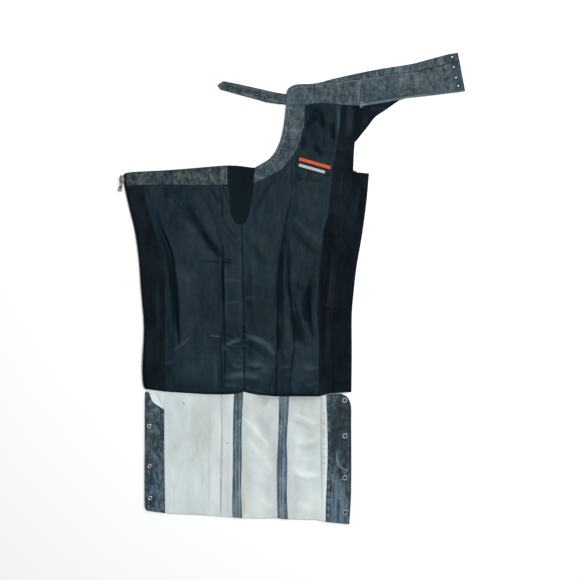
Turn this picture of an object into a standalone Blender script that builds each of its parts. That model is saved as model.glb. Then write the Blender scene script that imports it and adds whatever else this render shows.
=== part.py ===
"""One leg of a pair of lace-back leather riding chaps, unzipped and laid open flat with its inside up.

It is the wearer's right leg. The waistband lies at the top, with the belt strap at its left end (centre
front) and the laced yoke at its right end (centre back). The leg zip runs down the left and right edges.
Plan sizes are millimetres: x to the right, y towards the waist, z up from the floor.
Each cloth piece is a wall: a grid of points between its four edges, with a lower and an upper face.
Neighbours share the points of the seam between them, and each wall is drawn in by half a seam gap.
"""

import math
from collections import namedtuple

import bmesh
import bpy
from mathutils import Matrix, Vector

MM = 0.001
PLAN_MIDDLE = (0.31, 0.0)  # middle of the finished garment's box in the plan

# Finishes: colour, roughness, metallic
GREY_LEATHER = ((0.075, 0.096, 0.115), 0.55)
BLUE_LEATHER = ((0.055, 0.09, 0.12), 0.5)
BLUE_NYLON = ((0.016, 0.028, 0.04), 0.35)
BLACK_CLOTH = ((0.009, 0.013, 0.019), 0.85)
BLACK_KNIT = ((0.008, 0.013, 0.018), 0.9)
STEEL = ((0.6, 0.6, 0.58), 0.3, 1.0)
BLACK_METAL = ((0.05, 0.05, 0.055), 0.4, 1.0)

# Walls, in mm
LEATHER = 1.4  # outer leather
FACING = 1.2  # leather facings, snap facings and seam tapes
LINING = 1.0  # nylon lining
TAPE = 1.0  # zip tape
FLAP = 1.8  # storm flap, two cloths thick
STRAP = 2.4  # belt strap, two leathers thick
STRAP_ROOT = 1.2  # where it is skived to go between the waistband and its facing
STRAP_RISE = (-46, -20)  # x over which the strap rises from the floor onto the waistband
STRAP_SKIVE = (-42, -18)
LABEL = 0.6
SEAM_GAP = 0.3
LAYER_GAP = 0.3
SECOND = LEATHER + LAYER_GAP  # height of the lower face of what lies on the outer leather

# The belt strap's root lifts the facing that covers it.
ROOT_LIFT = STRAP_ROOT + LAYER_GAP
ROOT_LIFT_X = (18, 34)  # full up to the first, none from the second
ROOT_LIFT_BELOW = (438, 456)
ROOT_LIFT_ABOVE = (499, 512)

# Lining fullness
LINING_LIFT = 3.0
HIGHEST_RIDGE = 7.0  # above the fullness, however many folds meet
SEWN_BAND = 0.16  # share of a lining panel's width or height over which it comes down to a seam
HEM_LIFT = 0.45  # share of the fullness that is left at the free hem
LABEL_LIFT = 0.5  # share of the fullness under the label, which has no folds
LABEL_FLAT = (0.45, 0.8)  # folds return between these shares of the label's width from its middle

# Left zip, in mm from the line of its tooth tips
TAPE_EDGE = 1.2
LEATHER_EDGE = 5.7
STRIP_EDGE = 7.0
TAPE_LEVEL = (228, 250)  # y: below the first the tape drops to the floor, above the second it is level
TAPE_DROP = (0.35, 0.66)  # shares of its shown width between which it comes up onto the leather
TAPE_ON_FLOOR = 0.3
TAPE_END_SLANT = 5.5  # how much lower the outer corner of its upper end lies

# Storm flap: shares of its width
FLAP_LEATHER_EDGE = 0.58
FLAP_TAPE = (0.40, 0.74)
FLAP_TAPE_DROP = (0.62, 0.80)  # shares of the tape's own width
FLAP_LIFT = (0.13, 0.36, 0.64, 0.86)  # up from the first to the second, down from the third to the fourth
FLAP_OVER_TAPE = SECOND + TAPE + LAYER_GAP

# Seam tapes of the bare leather: name, left and right edge from the foot up, x of the top's ends on the hem
SEAM_TAPES = (
    ("seam_tape_back",
     ((-147, -572), (-148, -531), (-146.3, -445), (-146, -350), (-145, -306)),
     ((-123, -574.5), (-126, -500), (-124, -431), (-124.5, -350), (-123, -306)), (-143.4, -120.3)),
    ("seam_tape_front",
     ((-34.5, -574.5), (-35.7, -520), (-36.3, -440), (-33.3, -381), (-31, -306)),
     ((-8.5, -577), (-11.5, -520), (-10.4, -431), (-12, -385), (-8, -320)), (-30.5, -5.5)))
TAPE_ROWS = 12
TAPE_COLUMNS = 3

# Snaps, eyelets and strap holes
SNAPS_LEFT = ((-356, -344), (-355, -444), (-353.5, -524))
SNAPS_RIGHT = ((133, -279), (133, -368), (133, -473), (134.5, -559))
# Sections of the snaps: radius, height
SNAP_LEFT = ((0, 0), (5.5, 0), (5.3, 0.9), (4.2, 1.3), (2.7, 1.1), (2.2, 0.4), (0, 0.4))
SNAP_RIGHT = ((0, 0), (6.4, 0), (6.3, 0.9), (5.8, 1.3), (4.9, 1.2), (4.5, 0.5), (0, 0.5))
EYELETS_OPEN = ((402, 579), (406, 554), (411.5, 528), (417, 507))
EYELETS_BLIND = ((384, 573), (383, 545), (388, 523), (390.5, 501))
STRAP_HOLES = ((-152, 503), (-132, 498), (-109, 492), (-85, 486), (-62, 480), (-41, 476))
EYELET_BORE = 2.3
EYELET_BARREL = 2.9
EYELET_FLANGE = 4.4
EYELET_FLANGE_HEIGHT = 0.7
EYELET_BEVEL = 0.4
EYELET_FOOT = 0.25  # height of the open eyelets' lower end
HOLE_CLEARANCE = 0.3
STRAP_HOLE = 1.0
ROUND_STEPS = 16
HOLE_STEPS = 12
HOLE_CUT = 30.0  # height of the cutters
SHARP = math.radians(35)
SHARPEST_MITRE = 0.5

# Zip slider and its pull, in the slider's own millimetres: across, along and up from its middle on the floor
SLIDER_AT = (-424.0, 272.8)
SLIDER_HALF_WIDTH = 6.5
SLIDER_HALF_LENGTH = 10.0
SLIDER_SLOT = (1.35, 3.1)  # the plates' inner faces
SLIDER_TOP = 4.4
SLIDER_WALL = 3.6  # width of the solid side that joins the plates
# Half widths of its shield along its length, from the end that the zip leaves closed
SLIDER_SHIELD = ((-10.5, 3.9), (-9.5, 4.4), (-6.5, 5.5), (-2.5, 6.6), (1.0, 6.4), (4.5, 5.0), (6.0, 4.4),
                 (10.5, 4.4))
BRIDGE_HALF_WIDTH = 1.2
BRIDGE_ALONG = (-9.4, -2.1)
BRIDGE_LEG = 1.0
BRIDGE_ROOT = 4.0
BRIDGE_UNDER = 6.7
BRIDGE_TOP = 7.7
PULL_AXIS_ALONG = -6.6
PULL_AXIS_HEIGHT = 5.5
PULL_ASKEW = math.radians(14)
PULL_DROOP = math.radians(5)
PULL_THICK = 1.2
# Left halves of the pull's outline and of the window that the bridge stands in
PULL_OUTLINE = ((-3.7, 0.8), (-3.7, -8.0), (-3.0, -10.0), (-4.4, -14.0), (-4.4, -22.5), (-2.8, -24.0))
PULL_WINDOW = ((-2.6, -0.8), (-2.6, -6.8))
PULL_HOLE = 1.9
PULL_HOLE_AT = -19.0

# Label, in mm
LABEL_AT = (56, 305)
LABEL_TILT = math.radians(-16)
LABEL_SIZE = (92, 27)
SIZE_TAB_AT = (-4, -24)  # from the label's middle, along its own sides
SIZE_TAB_SIZE = (13, 17)
LABEL_CLEAR = 0.6

Fold = namedtuple("Fold", "x0 y0 x1 y1 width height")

# Folds of the lining: a ridge where the height is above 0, a trough below 0
LINING_FOLDS = (
    Fold(-322, 150, -299, 80, 9, 6),
    Fold(-299, 80, -287, -40, 9, 6),
    Fold(-287, -40, -283, -145, 9, 4),
    Fold(-299, 243, -252, 182, 13, -4),
    Fold(-252, 182, -215, 120, 14, -4),
    Fold(-215, 120, -177, 75, 14, -4),
    Fold(-262, 238, -222, 178, 11, 3),
    Fold(-297, 95, -240, 40, 10, -3),
    Fold(-227, 67, -147, 62, 9, 3),
    Fold(-173, 105, -169, -255, 8, 4),
    Fold(-235, -60, -228, -200, 12, 3),
    Fold(-106, 106, -77, 71, 9, -3),
    Fold(-160, -125, -128, -140, 8, 3),
    Fold(-112, -118, -80, -150, 10, 4),
    Fold(-10, 120, -10, 5, 9, 5),
    Fold(-10, 5, 26, -110, 9, 5),
    Fold(26, -110, 30, -145, 9, 4),
    Fold(51, 31, 42, -33, 9, 4),
    Fold(42, -33, 57, -122, 9, 4),
    Fold(7, -147, -8, -262, 9, 4),
    Fold(-3, 159, 74, 93, 14, -4),
    Fold(7, 207, 77, 150, 12, 4),
    Fold(48, 436, 62, 376, 9, 3),
    Fold(78, 444, 90, 380, 9, 3),
    Fold(110, 446, 104, 365, 8, 3),
)
# Ridges of the bare leather below the lining
LEATHER_FOLDS = (
    Fold(-103, -340, -60, -432, 11, 1.5),
    Fold(14, -311, 64, -316, 12, 1.2),
    Fold(16, -382, 60, -380, 13, 1.4),
    Fold(14, -469, 58, -474, 13, 1.2),
    Fold(-205, -300, -207, -530, 9, 1.0),
    Fold(-176, -310, -178, -520, 9, 1.0),
    Fold(-290, -350, -240, -400, 16, 1.0),
)
LEATHER_FOLDS_BELOW = (-262, -282)  # y: none above the first, full below the second


# Edges: smooth curves through short tables of x, y


def along(rows, steps):
    """steps + 1 points on a smooth curve through the rows, every row among them."""
    rows = [Vector(row) for row in rows]
    reach = [0.0]
    for start, end in zip(rows, rows[1:]):
        reach.append(reach[-1] + (end - start).length)
    stations = [reach[-1] * step / steps for step in range(steps + 1)]
    for distance in reach[1:-1]:
        nearest = min(range(1, steps), key=lambda step: abs(stations[step] - distance))
        stations[nearest] = distance
    slopes = []
    for i in range(len(rows)):
        before, after = max(i - 1, 0), min(i + 1, len(rows) - 1)
        slopes.append((rows[after] - rows[before]) / (reach[after] - reach[before]))
    points = []
    for distance in stations:
        i = max(k for k in range(len(rows) - 1) if reach[k] <= distance or k == 0)
        length = reach[i + 1] - reach[i]
        t = (distance - reach[i]) / length
        start = rows[i] * (2 * t**3 - 3 * t**2 + 1) + slopes[i] * length * (t**3 - 2 * t**2 + t)
        end = rows[i + 1] * (3 * t**2 - 2 * t**3) + slopes[i + 1] * length * (t**3 - t**2)
        points.append(start + end)
    return points


def joined(*edges):
    """Edges that follow each other, as one."""
    points = list(edges[0])
    for edge in edges[1:]:
        points += edge[1:]
    return points


def back(edge):
    return edge[::-1]


def shifted(edge, distance):
    """The edge moved to the right."""
    return [point + Vector((distance, 0)) for point in edge]


def across(left, right, share):
    """The edge that lies this share of the way from one edge to another."""
    return [a.lerp(b, share) for a, b in zip(left, right)]


def x_at(edge, y):
    """Where an edge that runs down the leg crosses a height in the plan."""
    for high, low in zip(edge, edge[1:]):
        if low.y <= y <= high.y:
            return high.lerp(low, (high.y - y) / (high.y - low.y)).x
    raise ValueError(f"the edge doesn't reach y = {y}")


# Seam lines of the outer leather. Each runs from the waist to the hem, or from left to right.
GUSSET_LEFT_TOP = along([(-160, 308), (-160, 259)], 2)
GUSSET_LEFT = along([(-160, 259), (-156, 243), (-152, 190), (-142, 169)], 5)
GUSSET_LEFT_FOOT = along([(-142, 169), (-135, 162), (-126, 160)], 2)
GUSSET_RIGHT_TOP = along([(-93, 302), (-95, 262)], 2)
GUSSET_RIGHT = along([(-95, 262), (-106, 190), (-113, 172)], 5)
GUSSET_RIGHT_FOOT = along([(-113, 172), (-118, 163), (-126, 160)], 2)
LEATHER_SEAM_BACK = along([(-126, 160), (-131, 60), (-132, -266), (-134, -445), (-134, -574)], 16)
LEATHER_SEAM_FRONT = along(
    [(-28, 370), (-10, 315), (-2, 222), (-21, 120), (-31, 43), (-33, -58), (-30, -173), (-18, -270),
     (-21, -373), (-23, -440), (-21, -577)], 25)
CROTCH_OUTER_LOW = along([(-93, 302), (-79, 310), (-55, 325), (-42, 340), (-28, 370)], 6)
CROTCH_OUTER_HIGH = along([(-28, 370), (-21, 400), (-17, 430), (-14, 457)], 8)
ZIP_LINE = joined(
    along([(-422.6, 288.4), (-421.8, 272), (-418, 254)], 2),
    along([(-418, 254), (-413.4, 231), (-407.4, 205), (-393, 145), (-384, 85), (-377, -5), (-370, -95), (-374, -215),
           (-371, -243), (-367, -252)], 23))
LEATHER_LEFT = joined(
    shifted(ZIP_LINE[:-1:2] + [ZIP_LINE[-1]], LEATHER_EDGE),
    along([(LEATHER_EDGE - 367, -252), (-366.5, -262), (-367.5, -400), (-367.5, -548), (-362, -556)], 12))
BACK_TOP = along([LEATHER_LEFT[0], (-402, 291), (-297, 297), (-177, 307), (-160, 308)], 10)
HEM_BACK = along([(-362, -556), (-316, -562), (-207, -568), (-134, -574)], 10)
HEM_INNER = along([(-134, -574), (-100, -575), (-35, -575), (-21, -577)], 6)
HEM_FRONT = along([(-21, -577), (76, -580), (86, -584), (145, -590)], 8)
WAIST_FRONT = along([(-14, 457), (33, 459), (77, 463), (134, 459), (170, 457)], 7)
HIP_SEAM = along([(177, 456), (159, 369)], 6)
HIP_SEAM_LOW = along([(159, 369), (154, 291)], 2)
HIP_EDGE = along([(270, 471), (233, 445), (211, 430), (187, 400), (162, 369)], 6)
YOKE_SEAM_START = along([(170, 457), (177, 456)], 1)
YOKE_SEAM_HIP = along([(177, 456), (225, 462), (270, 471)], 4)
YOKE_BOTTOM = along([(270, 471), (287, 476), (332, 481), (407, 490), (434.5, 494)], 6)

# The storm flap and the leather's edge under it. The groove is the seam that the flap folds out from.
GROOVE = along(
    [(154, 291), (149, 237), (137, 179), (130, 136), (123, 70), (113, 31), (105, -58), (102, -160),
     (100, -262)], 23)
FLAP_EDGE = along(
    [(194, 288), (188, 220), (176, 130), (163, 55), (156, -5), (151, -65), (151, -160), (150, -259)], 23)
UNDER_FLAP = across(GROOVE, FLAP_EDGE, FLAP_LEATHER_EDGE)[1:-1:2]
LEATHER_RIGHT = joined(
    along([(154, 291), (176, 284)], 1),
    [Vector((176, 284))] + UNDER_FLAP,
    along([UNDER_FLAP[-1], (122, -260), (139, -269), (146, -281), (149.5, -297)], 4),
    along([(149.5, -297), (149.5, -505), (145, -590)], 9))

# Seam lines of what lies on the leather
CROTCH_INNER_HIGH = along([(33, 459), (33, 418), (26, 384), (17, 355), (0, 327)], 8)
CROTCH_INNER_LOW = along([(0, 327), (-23, 300), (-54, 281), (-85, 267), (-95, 262)], 6)
WAIST_CROTCH = along([(-14, 457), (33, 459)], 3)
WAIST_LINING = along([(33, 459), (77, 463), (127, 459)], 8)
WAIST_STRIP = along([(127, 459), (170, 457)], 2)
LINING_SEAM_BACK = along([(-126, 160), (-120, -32), (-118, -246), (-120, -258)], 16)
LINING_SEAM_FRONT = along(
    [(0, 327), (-3, 222), (-22, 120), (-32, 43), (-35, -58), (-37, -173), (-40, -270)], 23)
STRIP_LEFT_INNER = along(
    [(-372, 259), (-362, 205), (-351, 167), (-338, 129), (-326, 98), (-318, 52), (-317, -25),
     (-317, -258)], 23)
STRIP_RIGHT_INNER = along(
    [(127, 459), (117, 380), (101, 265), (91, 179), (82, 150), (76, 95), (66, -32), (69, -122),
     (69, -270)], 31)
STRIP_LEFT_OUTER = shifted(ZIP_LINE[2:], STRIP_EDGE)
THIGH_END = shifted(ZIP_LINE[:3], STRIP_EDGE)
FACING_FOOT_STRIP = along([(-411, 254), (-372, 259)], 3)
FACING_FOOT_LINING = along([(-372, 259), (-300, 259), (-223, 258), (-160, 259)], 12)
LINING_HEM_STRIP = along([(-360, -252), (-317, -258)], 3)
LINING_HEM_BACK = along([(-317, -258), (-255, -262), (-201, -265), (-146, -264), (-120, -258)], 12)
LINING_HEM_INNER = along([(-120, -258), (-91, -265), (-40, -270)], 6)
LINING_HEM_FRONT = along([(-40, -270), (37, -270), (69, -270)], 8)
FACING_LINE_FRONT = along([(84, 515), (124, 516), (143, 520), (165, 522)], 6)
FACING_LINE_YOKE = along([(165, 522), (207, 528), (255, 536), (297, 540), (349, 552), (420, 571)], 10)
YOKE_SIDE_SEAM = along([(170, 457), (165, 522)], 4)
WAIST_CORNER = along([(-14, 457), (-13, 486), (-11, 494), (-7, 501)], 4)
WAIST_TOP = along([(-7, 501), (4, 508), (17, 511), (47, 512), (84, 515)], 7)


# Heights


def fade(value, start, end):
    """0 at start, 1 at end, smooth between."""
    t = min(max((value - start) / (end - start), 0.0), 1.0)
    return t * t * (3 - 2 * t)


def fold_height(x, y, folds):
    total = 0.0
    for fold in folds:
        run = Vector((fold.x1 - fold.x0, fold.y1 - fold.y0))
        to_point = Vector((x - fold.x0, y - fold.y0))
        t = min(max(to_point.dot(run) / run.length_squared, 0.0), 1.0)
        off = (to_point - run * t).length / fold.width
        total += fold.height * math.exp(-off * off)
    return total


def on_leather(x, y, u, v):
    """Lower face of a flat piece that lies on the outer leather."""
    lift = 1 - fade(x, *ROOT_LIFT_X)
    lift *= fade(y, *ROOT_LIFT_BELOW) * (1 - fade(y, *ROOT_LIFT_ABOVE))
    return SECOND + ROOT_LIFT * lift


def leather_top(x, y, u, v):
    """Upper face of the outer leather."""
    bare = fade(y, *LEATHER_FOLDS_BELOW)
    sewn = fade(u, 0, SEWN_BAND) * fade(1 - u, 0, SEWN_BAND)
    return LEATHER + bare * sewn * fold_height(x, y, LEATHER_FOLDS)


def lining_base(x, y, u, v):
    """Lower face of the lining: full between its seams, with folds, and loose at the hem."""
    sewn = fade(u, 0, SEWN_BAND) * fade(1 - u, 0, SEWN_BAND) * fade(1 - v, 0, SEWN_BAND)
    hem = HEM_LIFT + (1 - HEM_LIFT) * fade(v, 0, SEWN_BAND)
    ridge = HIGHEST_RIDGE * math.tanh(fold_height(x, y, LINING_FOLDS) / HIGHEST_RIDGE)
    full = max(LINING_LIFT + ridge, 0.0)
    from_label = Vector((x - LABEL_AT[0], y - LABEL_AT[1])).length / LABEL_SIZE[0]
    folded = fade(from_label, *LABEL_FLAT)
    return SECOND + sewn * hem * (full * folded + LINING_LIFT * LABEL_LIFT * (1 - folded))


def label_base(x, y, u, v):
    """Lower face of what is sewn on the front lining panel."""
    seam, strip = x_at(joined(CROTCH_INNER_HIGH, LINING_SEAM_FRONT), y), x_at(STRIP_RIGHT_INNER, y)
    return lining_base(x, y, (x - seam) / (strip - seam), 0.5) + LINING + LABEL_CLEAR


def left_tape_base(x, y, u, v):
    """Lower face of the left zip tape: level at the slider, below it down from the leather to the floor."""
    dropped = (1 - fade(u, *TAPE_DROP)) * (1 - fade(y, *TAPE_LEVEL))
    return SECOND + (TAPE_ON_FLOOR - SECOND) * dropped


def right_tape_base(x, y, u, v):
    return SECOND + (TAPE_ON_FLOOR - SECOND) * fade(u, *FLAP_TAPE_DROP)


def flap_base(x, y, u, v):
    """Lower face of the storm flap: on the leather, over the zip tape, then down beside it."""
    rise, over, fall, down = FLAP_LIFT
    up = SECOND + (FLAP_OVER_TAPE - SECOND) * fade(u, rise, over)
    return up + (TAPE_ON_FLOOR - up) * fade(u, fall, down)


def strap_base(x, y, u, v):
    """Lower face of the belt strap: on the floor, and up onto the waistband's outer leather at its root."""
    return SECOND * fade(x, *STRAP_RISE)


def strap_top(x, y, u, v):
    return strap_base(x, y, u, v) + STRAP + (STRAP_ROOT - STRAP) * fade(x, *STRAP_SKIVE)


# Building


def clear_scene():
    for old in list(bpy.data.objects):
        bpy.data.objects.remove(old, do_unlink=True)


def material(name, colour, roughness, metallic=0.0):
    made = bpy.data.materials.new(name)
    made.use_nodes = True
    shader = made.node_tree.nodes["Principled BSDF"]
    shader.inputs["Base Color"].default_value = (*colour, 1.0)
    shader.inputs["Roughness"].default_value = roughness
    shader.inputs["Metallic"].default_value = metallic
    return made


def placed(x, y, z):
    """A point of the plan, in metres from the middle of the garment's box."""
    return Vector((x - PLAN_MIDDLE[0], y - PLAN_MIDDLE[1], z)) * MM


def finished(name, body, finish):
    """An object of its own from a bmesh, with its own material."""
    mesh = bpy.data.meshes.new(name)
    bmesh.ops.recalc_face_normals(body, faces=body.faces)
    body.to_mesh(mesh)
    body.free()
    mesh.materials.append(material(name, *finish))
    made = bpy.data.objects.new(name, mesh)
    bpy.context.scene.collection.objects.link(made)
    return made


def patch(left, right, bottom, top):
    """Coons patch between four edges. left and right run up the leg, bottom and top run to the right."""
    rows, columns = len(left) - 1, len(bottom) - 1
    grid = []
    for j in range(rows + 1):
        v = j / rows
        line = []
        for i in range(columns + 1):
            u = i / columns
            ruled = left[j].lerp(right[j], u) + bottom[i].lerp(top[i], v)
            corners = bottom[0].lerp(bottom[-1], u).lerp(top[0].lerp(top[-1], u), v)
            line.append(ruled - corners)
        grid.append(line)
    return grid


def rim_of(grid):
    """Row and column of each point round a grid's edge, anticlockwise."""
    rows, columns = len(grid) - 1, len(grid[0]) - 1
    rim = [(0, i) for i in range(columns)]
    rim += [(j, columns) for j in range(rows)]
    rim += [(rows, i) for i in range(columns, 0, -1)]
    return rim + [(j, 0) for j in range(rows, 0, -1)]


def drawn_in(grid, distance):
    """The grid with its outline moved in by a distance."""
    rim = rim_of(grid)
    points = [grid[j][i].copy() for j, i in rim]
    count = len(points)
    for k, (j, i) in enumerate(rim):
        before = (points[k] - points[k - 1]).normalized()
        after = (points[(k + 1) % count] - points[k]).normalized()
        inward = Vector((-before.y - after.y, before.x + after.x)).normalized()
        mitre = max(inward.dot(Vector((-before.y, before.x))), SHARPEST_MITRE)
        grid[j][i] = points[k] + inward * (distance / mitre)
    return grid


def wall(name, edges, lower, upper, finish):
    """A closed wall over a patch. lower and upper give its faces' heights at x, y and the shares u, v."""
    grid = drawn_in(patch(*edges), SEAM_GAP / 2)
    rows, columns = len(grid) - 1, len(grid[0]) - 1
    body = bmesh.new()
    layers = []
    for height in (lower, upper):
        layer = []
        for j, line in enumerate(grid):
            level = [placed(p.x, p.y, height(p.x, p.y, i / columns, j / rows)) for i, p in enumerate(line)]
            layer.append([body.verts.new(point) for point in level])
        layers.append(layer)
    under, over = layers
    for j in range(rows):
        for i in range(columns):
            body.faces.new((over[j][i], over[j][i + 1], over[j + 1][i + 1], over[j + 1][i]))
            body.faces.new((under[j][i], under[j + 1][i], under[j + 1][i + 1], under[j][i + 1]))
    rim = rim_of(grid)
    for (j, i), (next_j, next_i) in zip(rim, rim[1:] + rim[:1]):
        body.faces.new((under[j][i], under[next_j][next_i], over[next_j][next_i], over[j][i]))
    return finished(name, body, finish)


def on_floor(x, y, u, v):
    return 0.0


def raised(lower, thickness):
    """The upper face of a wall of even thickness."""
    return lambda x, y, u, v: lower(x, y, u, v) + thickness


def turned(name, profile, at, height, finish, steps=ROUND_STEPS):
    """A round solid at a place in the plan, from its closed profile of radius and height, both in mm."""
    body = bmesh.new()
    rings = []
    for step in range(steps):
        angle = 2 * math.pi * step / steps
        cosine, sine = math.cos(angle), math.sin(angle)
        ring = [placed(at[0] + r * cosine, at[1] + r * sine, z + height) for r, z in profile]
        rings.append([body.verts.new(point) for point in ring])
    for step in range(steps):
        here, there = rings[step], rings[(step + 1) % steps]
        for k in range(len(profile)):
            after = (k + 1) % len(profile)
            body.faces.new((here[k], there[k], there[after], here[after]))
    bmesh.ops.remove_doubles(body, verts=body.verts, dist=MM * 0.01)
    made = finished(name, body, finish)
    made.data.shade_smooth()
    made.data.set_sharp_from_angle(angle=SHARP)
    return made


def prism(name, outline, low, high, to_world, finish):
    """An outline in a plane, carried through from low to high. to_world takes its sizes and that depth."""
    body = bmesh.new()
    near = [body.verts.new(to_world(a, b, low)) for a, b in outline]
    far = [body.verts.new(to_world(a, b, high)) for a, b in outline]
    body.faces.new(near)
    body.faces.new(far)
    for k in range(len(outline)):
        after = (k + 1) % len(outline)
        body.faces.new((near[k], near[after], far[after], far[k]))
    return finished(name, body, finish)


def combine(target, tool, operation):
    """A Boolean whose tool isn't a piece of the garment."""
    tool.hide_render = True
    tool.display_type = "WIRE"
    change = target.modifiers.new(tool.name, "BOOLEAN")
    change.operation = operation
    change.object = tool


def punched(name, places, radius, targets, finish):
    """Round holes right through walls."""
    profile = ((0, 0), (radius, 0), (radius, HOLE_CUT), (0, HOLE_CUT))
    for number, place in enumerate(places, 1):
        cutter = turned(f"{name}_{number}", profile, place, -HOLE_CUT / 2, finish, HOLE_STEPS)
        for target in targets:
            combine(target, cutter, "DIFFERENCE")


# Pieces


def leather_panels():
    """The outer leather, flat on the floor, and the cloth gussets beside it."""
    seam_back = joined(GUSSET_LEFT_TOP, GUSSET_LEFT, GUSSET_LEFT_FOOT, LEATHER_SEAM_BACK)
    wall("back_panel", (back(LEATHER_LEFT), back(seam_back), HEM_BACK, BACK_TOP),
         on_floor, leather_top, GREY_LEATHER)
    seam_inner = joined(GUSSET_RIGHT_TOP, GUSSET_RIGHT, GUSSET_RIGHT_FOOT, LEATHER_SEAM_BACK)
    wall("inner_panel", (back(seam_inner), back(LEATHER_SEAM_FRONT), HEM_INNER, CROTCH_OUTER_LOW),
         on_floor, leather_top, GREY_LEATHER)
    front_left = joined(back(CROTCH_OUTER_HIGH), LEATHER_SEAM_FRONT)
    front_right = joined(HIP_SEAM, HIP_SEAM_LOW, LEATHER_RIGHT)
    front_top = joined(WAIST_FRONT, YOKE_SEAM_START)
    wall("front_panel", (back(front_left), back(front_right), HEM_FRONT, front_top),
         on_floor, leather_top, GREY_LEATHER)
    hip_foot = along([HIP_SEAM[-1], HIP_EDGE[-1]], 4)
    wall("hip_panel", (back(HIP_SEAM), back(HIP_EDGE), hip_foot, YOKE_SEAM_HIP),
         on_floor, raised(on_floor, LEATHER), BLACK_CLOTH)
    left, right = joined(GUSSET_LEFT_TOP, GUSSET_LEFT), joined(GUSSET_RIGHT_TOP, GUSSET_RIGHT)
    foot = joined(GUSSET_LEFT_FOOT, back(GUSSET_RIGHT_FOOT))
    top = along([(-160, 308), (-132, 307), (-93, 302)], 4)
    wall("stretch_gusset", (back(left), back(right), foot, top),
         on_floor, raised(on_floor, LINING), BLACK_KNIT)


def waist_leather():
    """Outer leather of the front waistband and of the yoke."""
    seam = along([(170, 457), (165, 538)], 4)
    top_front = along(
        [(-7, 501), (4, 508), (17, 511), (47, 512), (78, 517), (107, 525), (137, 532), (165, 538)], 7)
    wall("waistband_outer", (WAIST_CORNER, seam, WAIST_FRONT, top_front),
         on_floor, raised(on_floor, LEATHER), GREY_LEATHER)
    top_yoke = along([(165, 538), (227, 550), (302, 562), (362, 578), (392, 586), (416, 590)], 11)
    foot_yoke = joined(YOKE_SEAM_START, YOKE_SEAM_HIP, YOKE_BOTTOM)
    end = along([(434.5, 494), (416, 590)], 4)
    return wall("yoke_outer", (seam, end, foot_yoke, top_yoke),
                on_floor, raised(on_floor, LEATHER), GREY_LEATHER)


def waist_facings():
    """Facings on the inside of the waist, and the outer leather's turned-over top above them."""
    upper = raised(on_leather, FACING)
    foot = joined(WAIST_CROTCH, WAIST_LINING, WAIST_STRIP)
    wall("waistband_facing", (WAIST_CORNER, YOKE_SIDE_SEAM, foot, joined(WAIST_TOP, FACING_LINE_FRONT)),
         on_leather, upper, GREY_LEATHER)
    yoke_foot = along(
        [(170, 457), (177, 456), (270, 471), (287, 476), (332, 481), (407, 490), (434.5, 494)], 10)
    yoke_end = along([(434.5, 494), (420, 571)], 4)
    facing = wall("yoke_facing", (YOKE_SIDE_SEAM, yoke_end, yoke_foot, FACING_LINE_YOKE),
                  on_leather, upper, GREY_LEATHER)
    turn_foot = joined(FACING_LINE_FRONT, FACING_LINE_YOKE)
    turn_top = along(
        [(84, 519), (107, 525), (165, 538), (227, 550), (302, 562), (362, 578), (416, 590)], 16)
    ends = (along([turn_foot[0], turn_top[0]], 1), along([turn_foot[-1], turn_top[-1]], 1))
    turnover = wall("yoke_turnover", (*ends, turn_foot, turn_top), on_leather, upper, GREY_LEATHER)
    return facing, turnover


def leg_facings():
    """Leather facings of the crotch curve and of the back of the thigh."""
    upper = raised(on_leather, FACING)
    outer = joined(CROTCH_OUTER_LOW, CROTCH_OUTER_HIGH)
    inner = joined(back(CROTCH_INNER_LOW), back(CROTCH_INNER_HIGH))
    wall("crotch_facing", (outer, inner, along([outer[0], inner[0]], 3), WAIST_CROTCH),
         on_leather, upper, GREY_LEATHER)
    foot = joined(FACING_FOOT_STRIP, FACING_FOOT_LINING)
    top = along([(-415.6, 288.4), (-402, 291), (-297, 297), (-177, 307), (-160, 308)], 15)
    wall("thigh_facing", (back(THIGH_END), along([foot[-1], top[-1]], 2), foot, top),
         on_leather, upper, GREY_LEATHER)


def lining_panels():
    """The nylon lining of the thigh, in three panels, free at its hem."""
    upper = raised(lining_base, LINING)
    seam_back = joined(GUSSET_LEFT, GUSSET_LEFT_FOOT, LINING_SEAM_BACK)
    wall("lining_back", (back(STRIP_LEFT_INNER), back(seam_back), LINING_HEM_BACK, FACING_FOOT_LINING),
         lining_base, upper, BLUE_NYLON)
    seam_inner = joined(GUSSET_RIGHT, GUSSET_RIGHT_FOOT, LINING_SEAM_BACK)
    wall("lining_inner",
         (back(seam_inner), back(LINING_SEAM_FRONT), LINING_HEM_INNER, back(CROTCH_INNER_LOW)),
         lining_base, upper, BLUE_NYLON)
    seam_front = joined(CROTCH_INNER_HIGH, LINING_SEAM_FRONT)
    wall("lining_front", (back(seam_front), back(STRIP_RIGHT_INNER), LINING_HEM_FRONT, WAIST_LINING),
         lining_base, upper, BLUE_NYLON)


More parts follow.
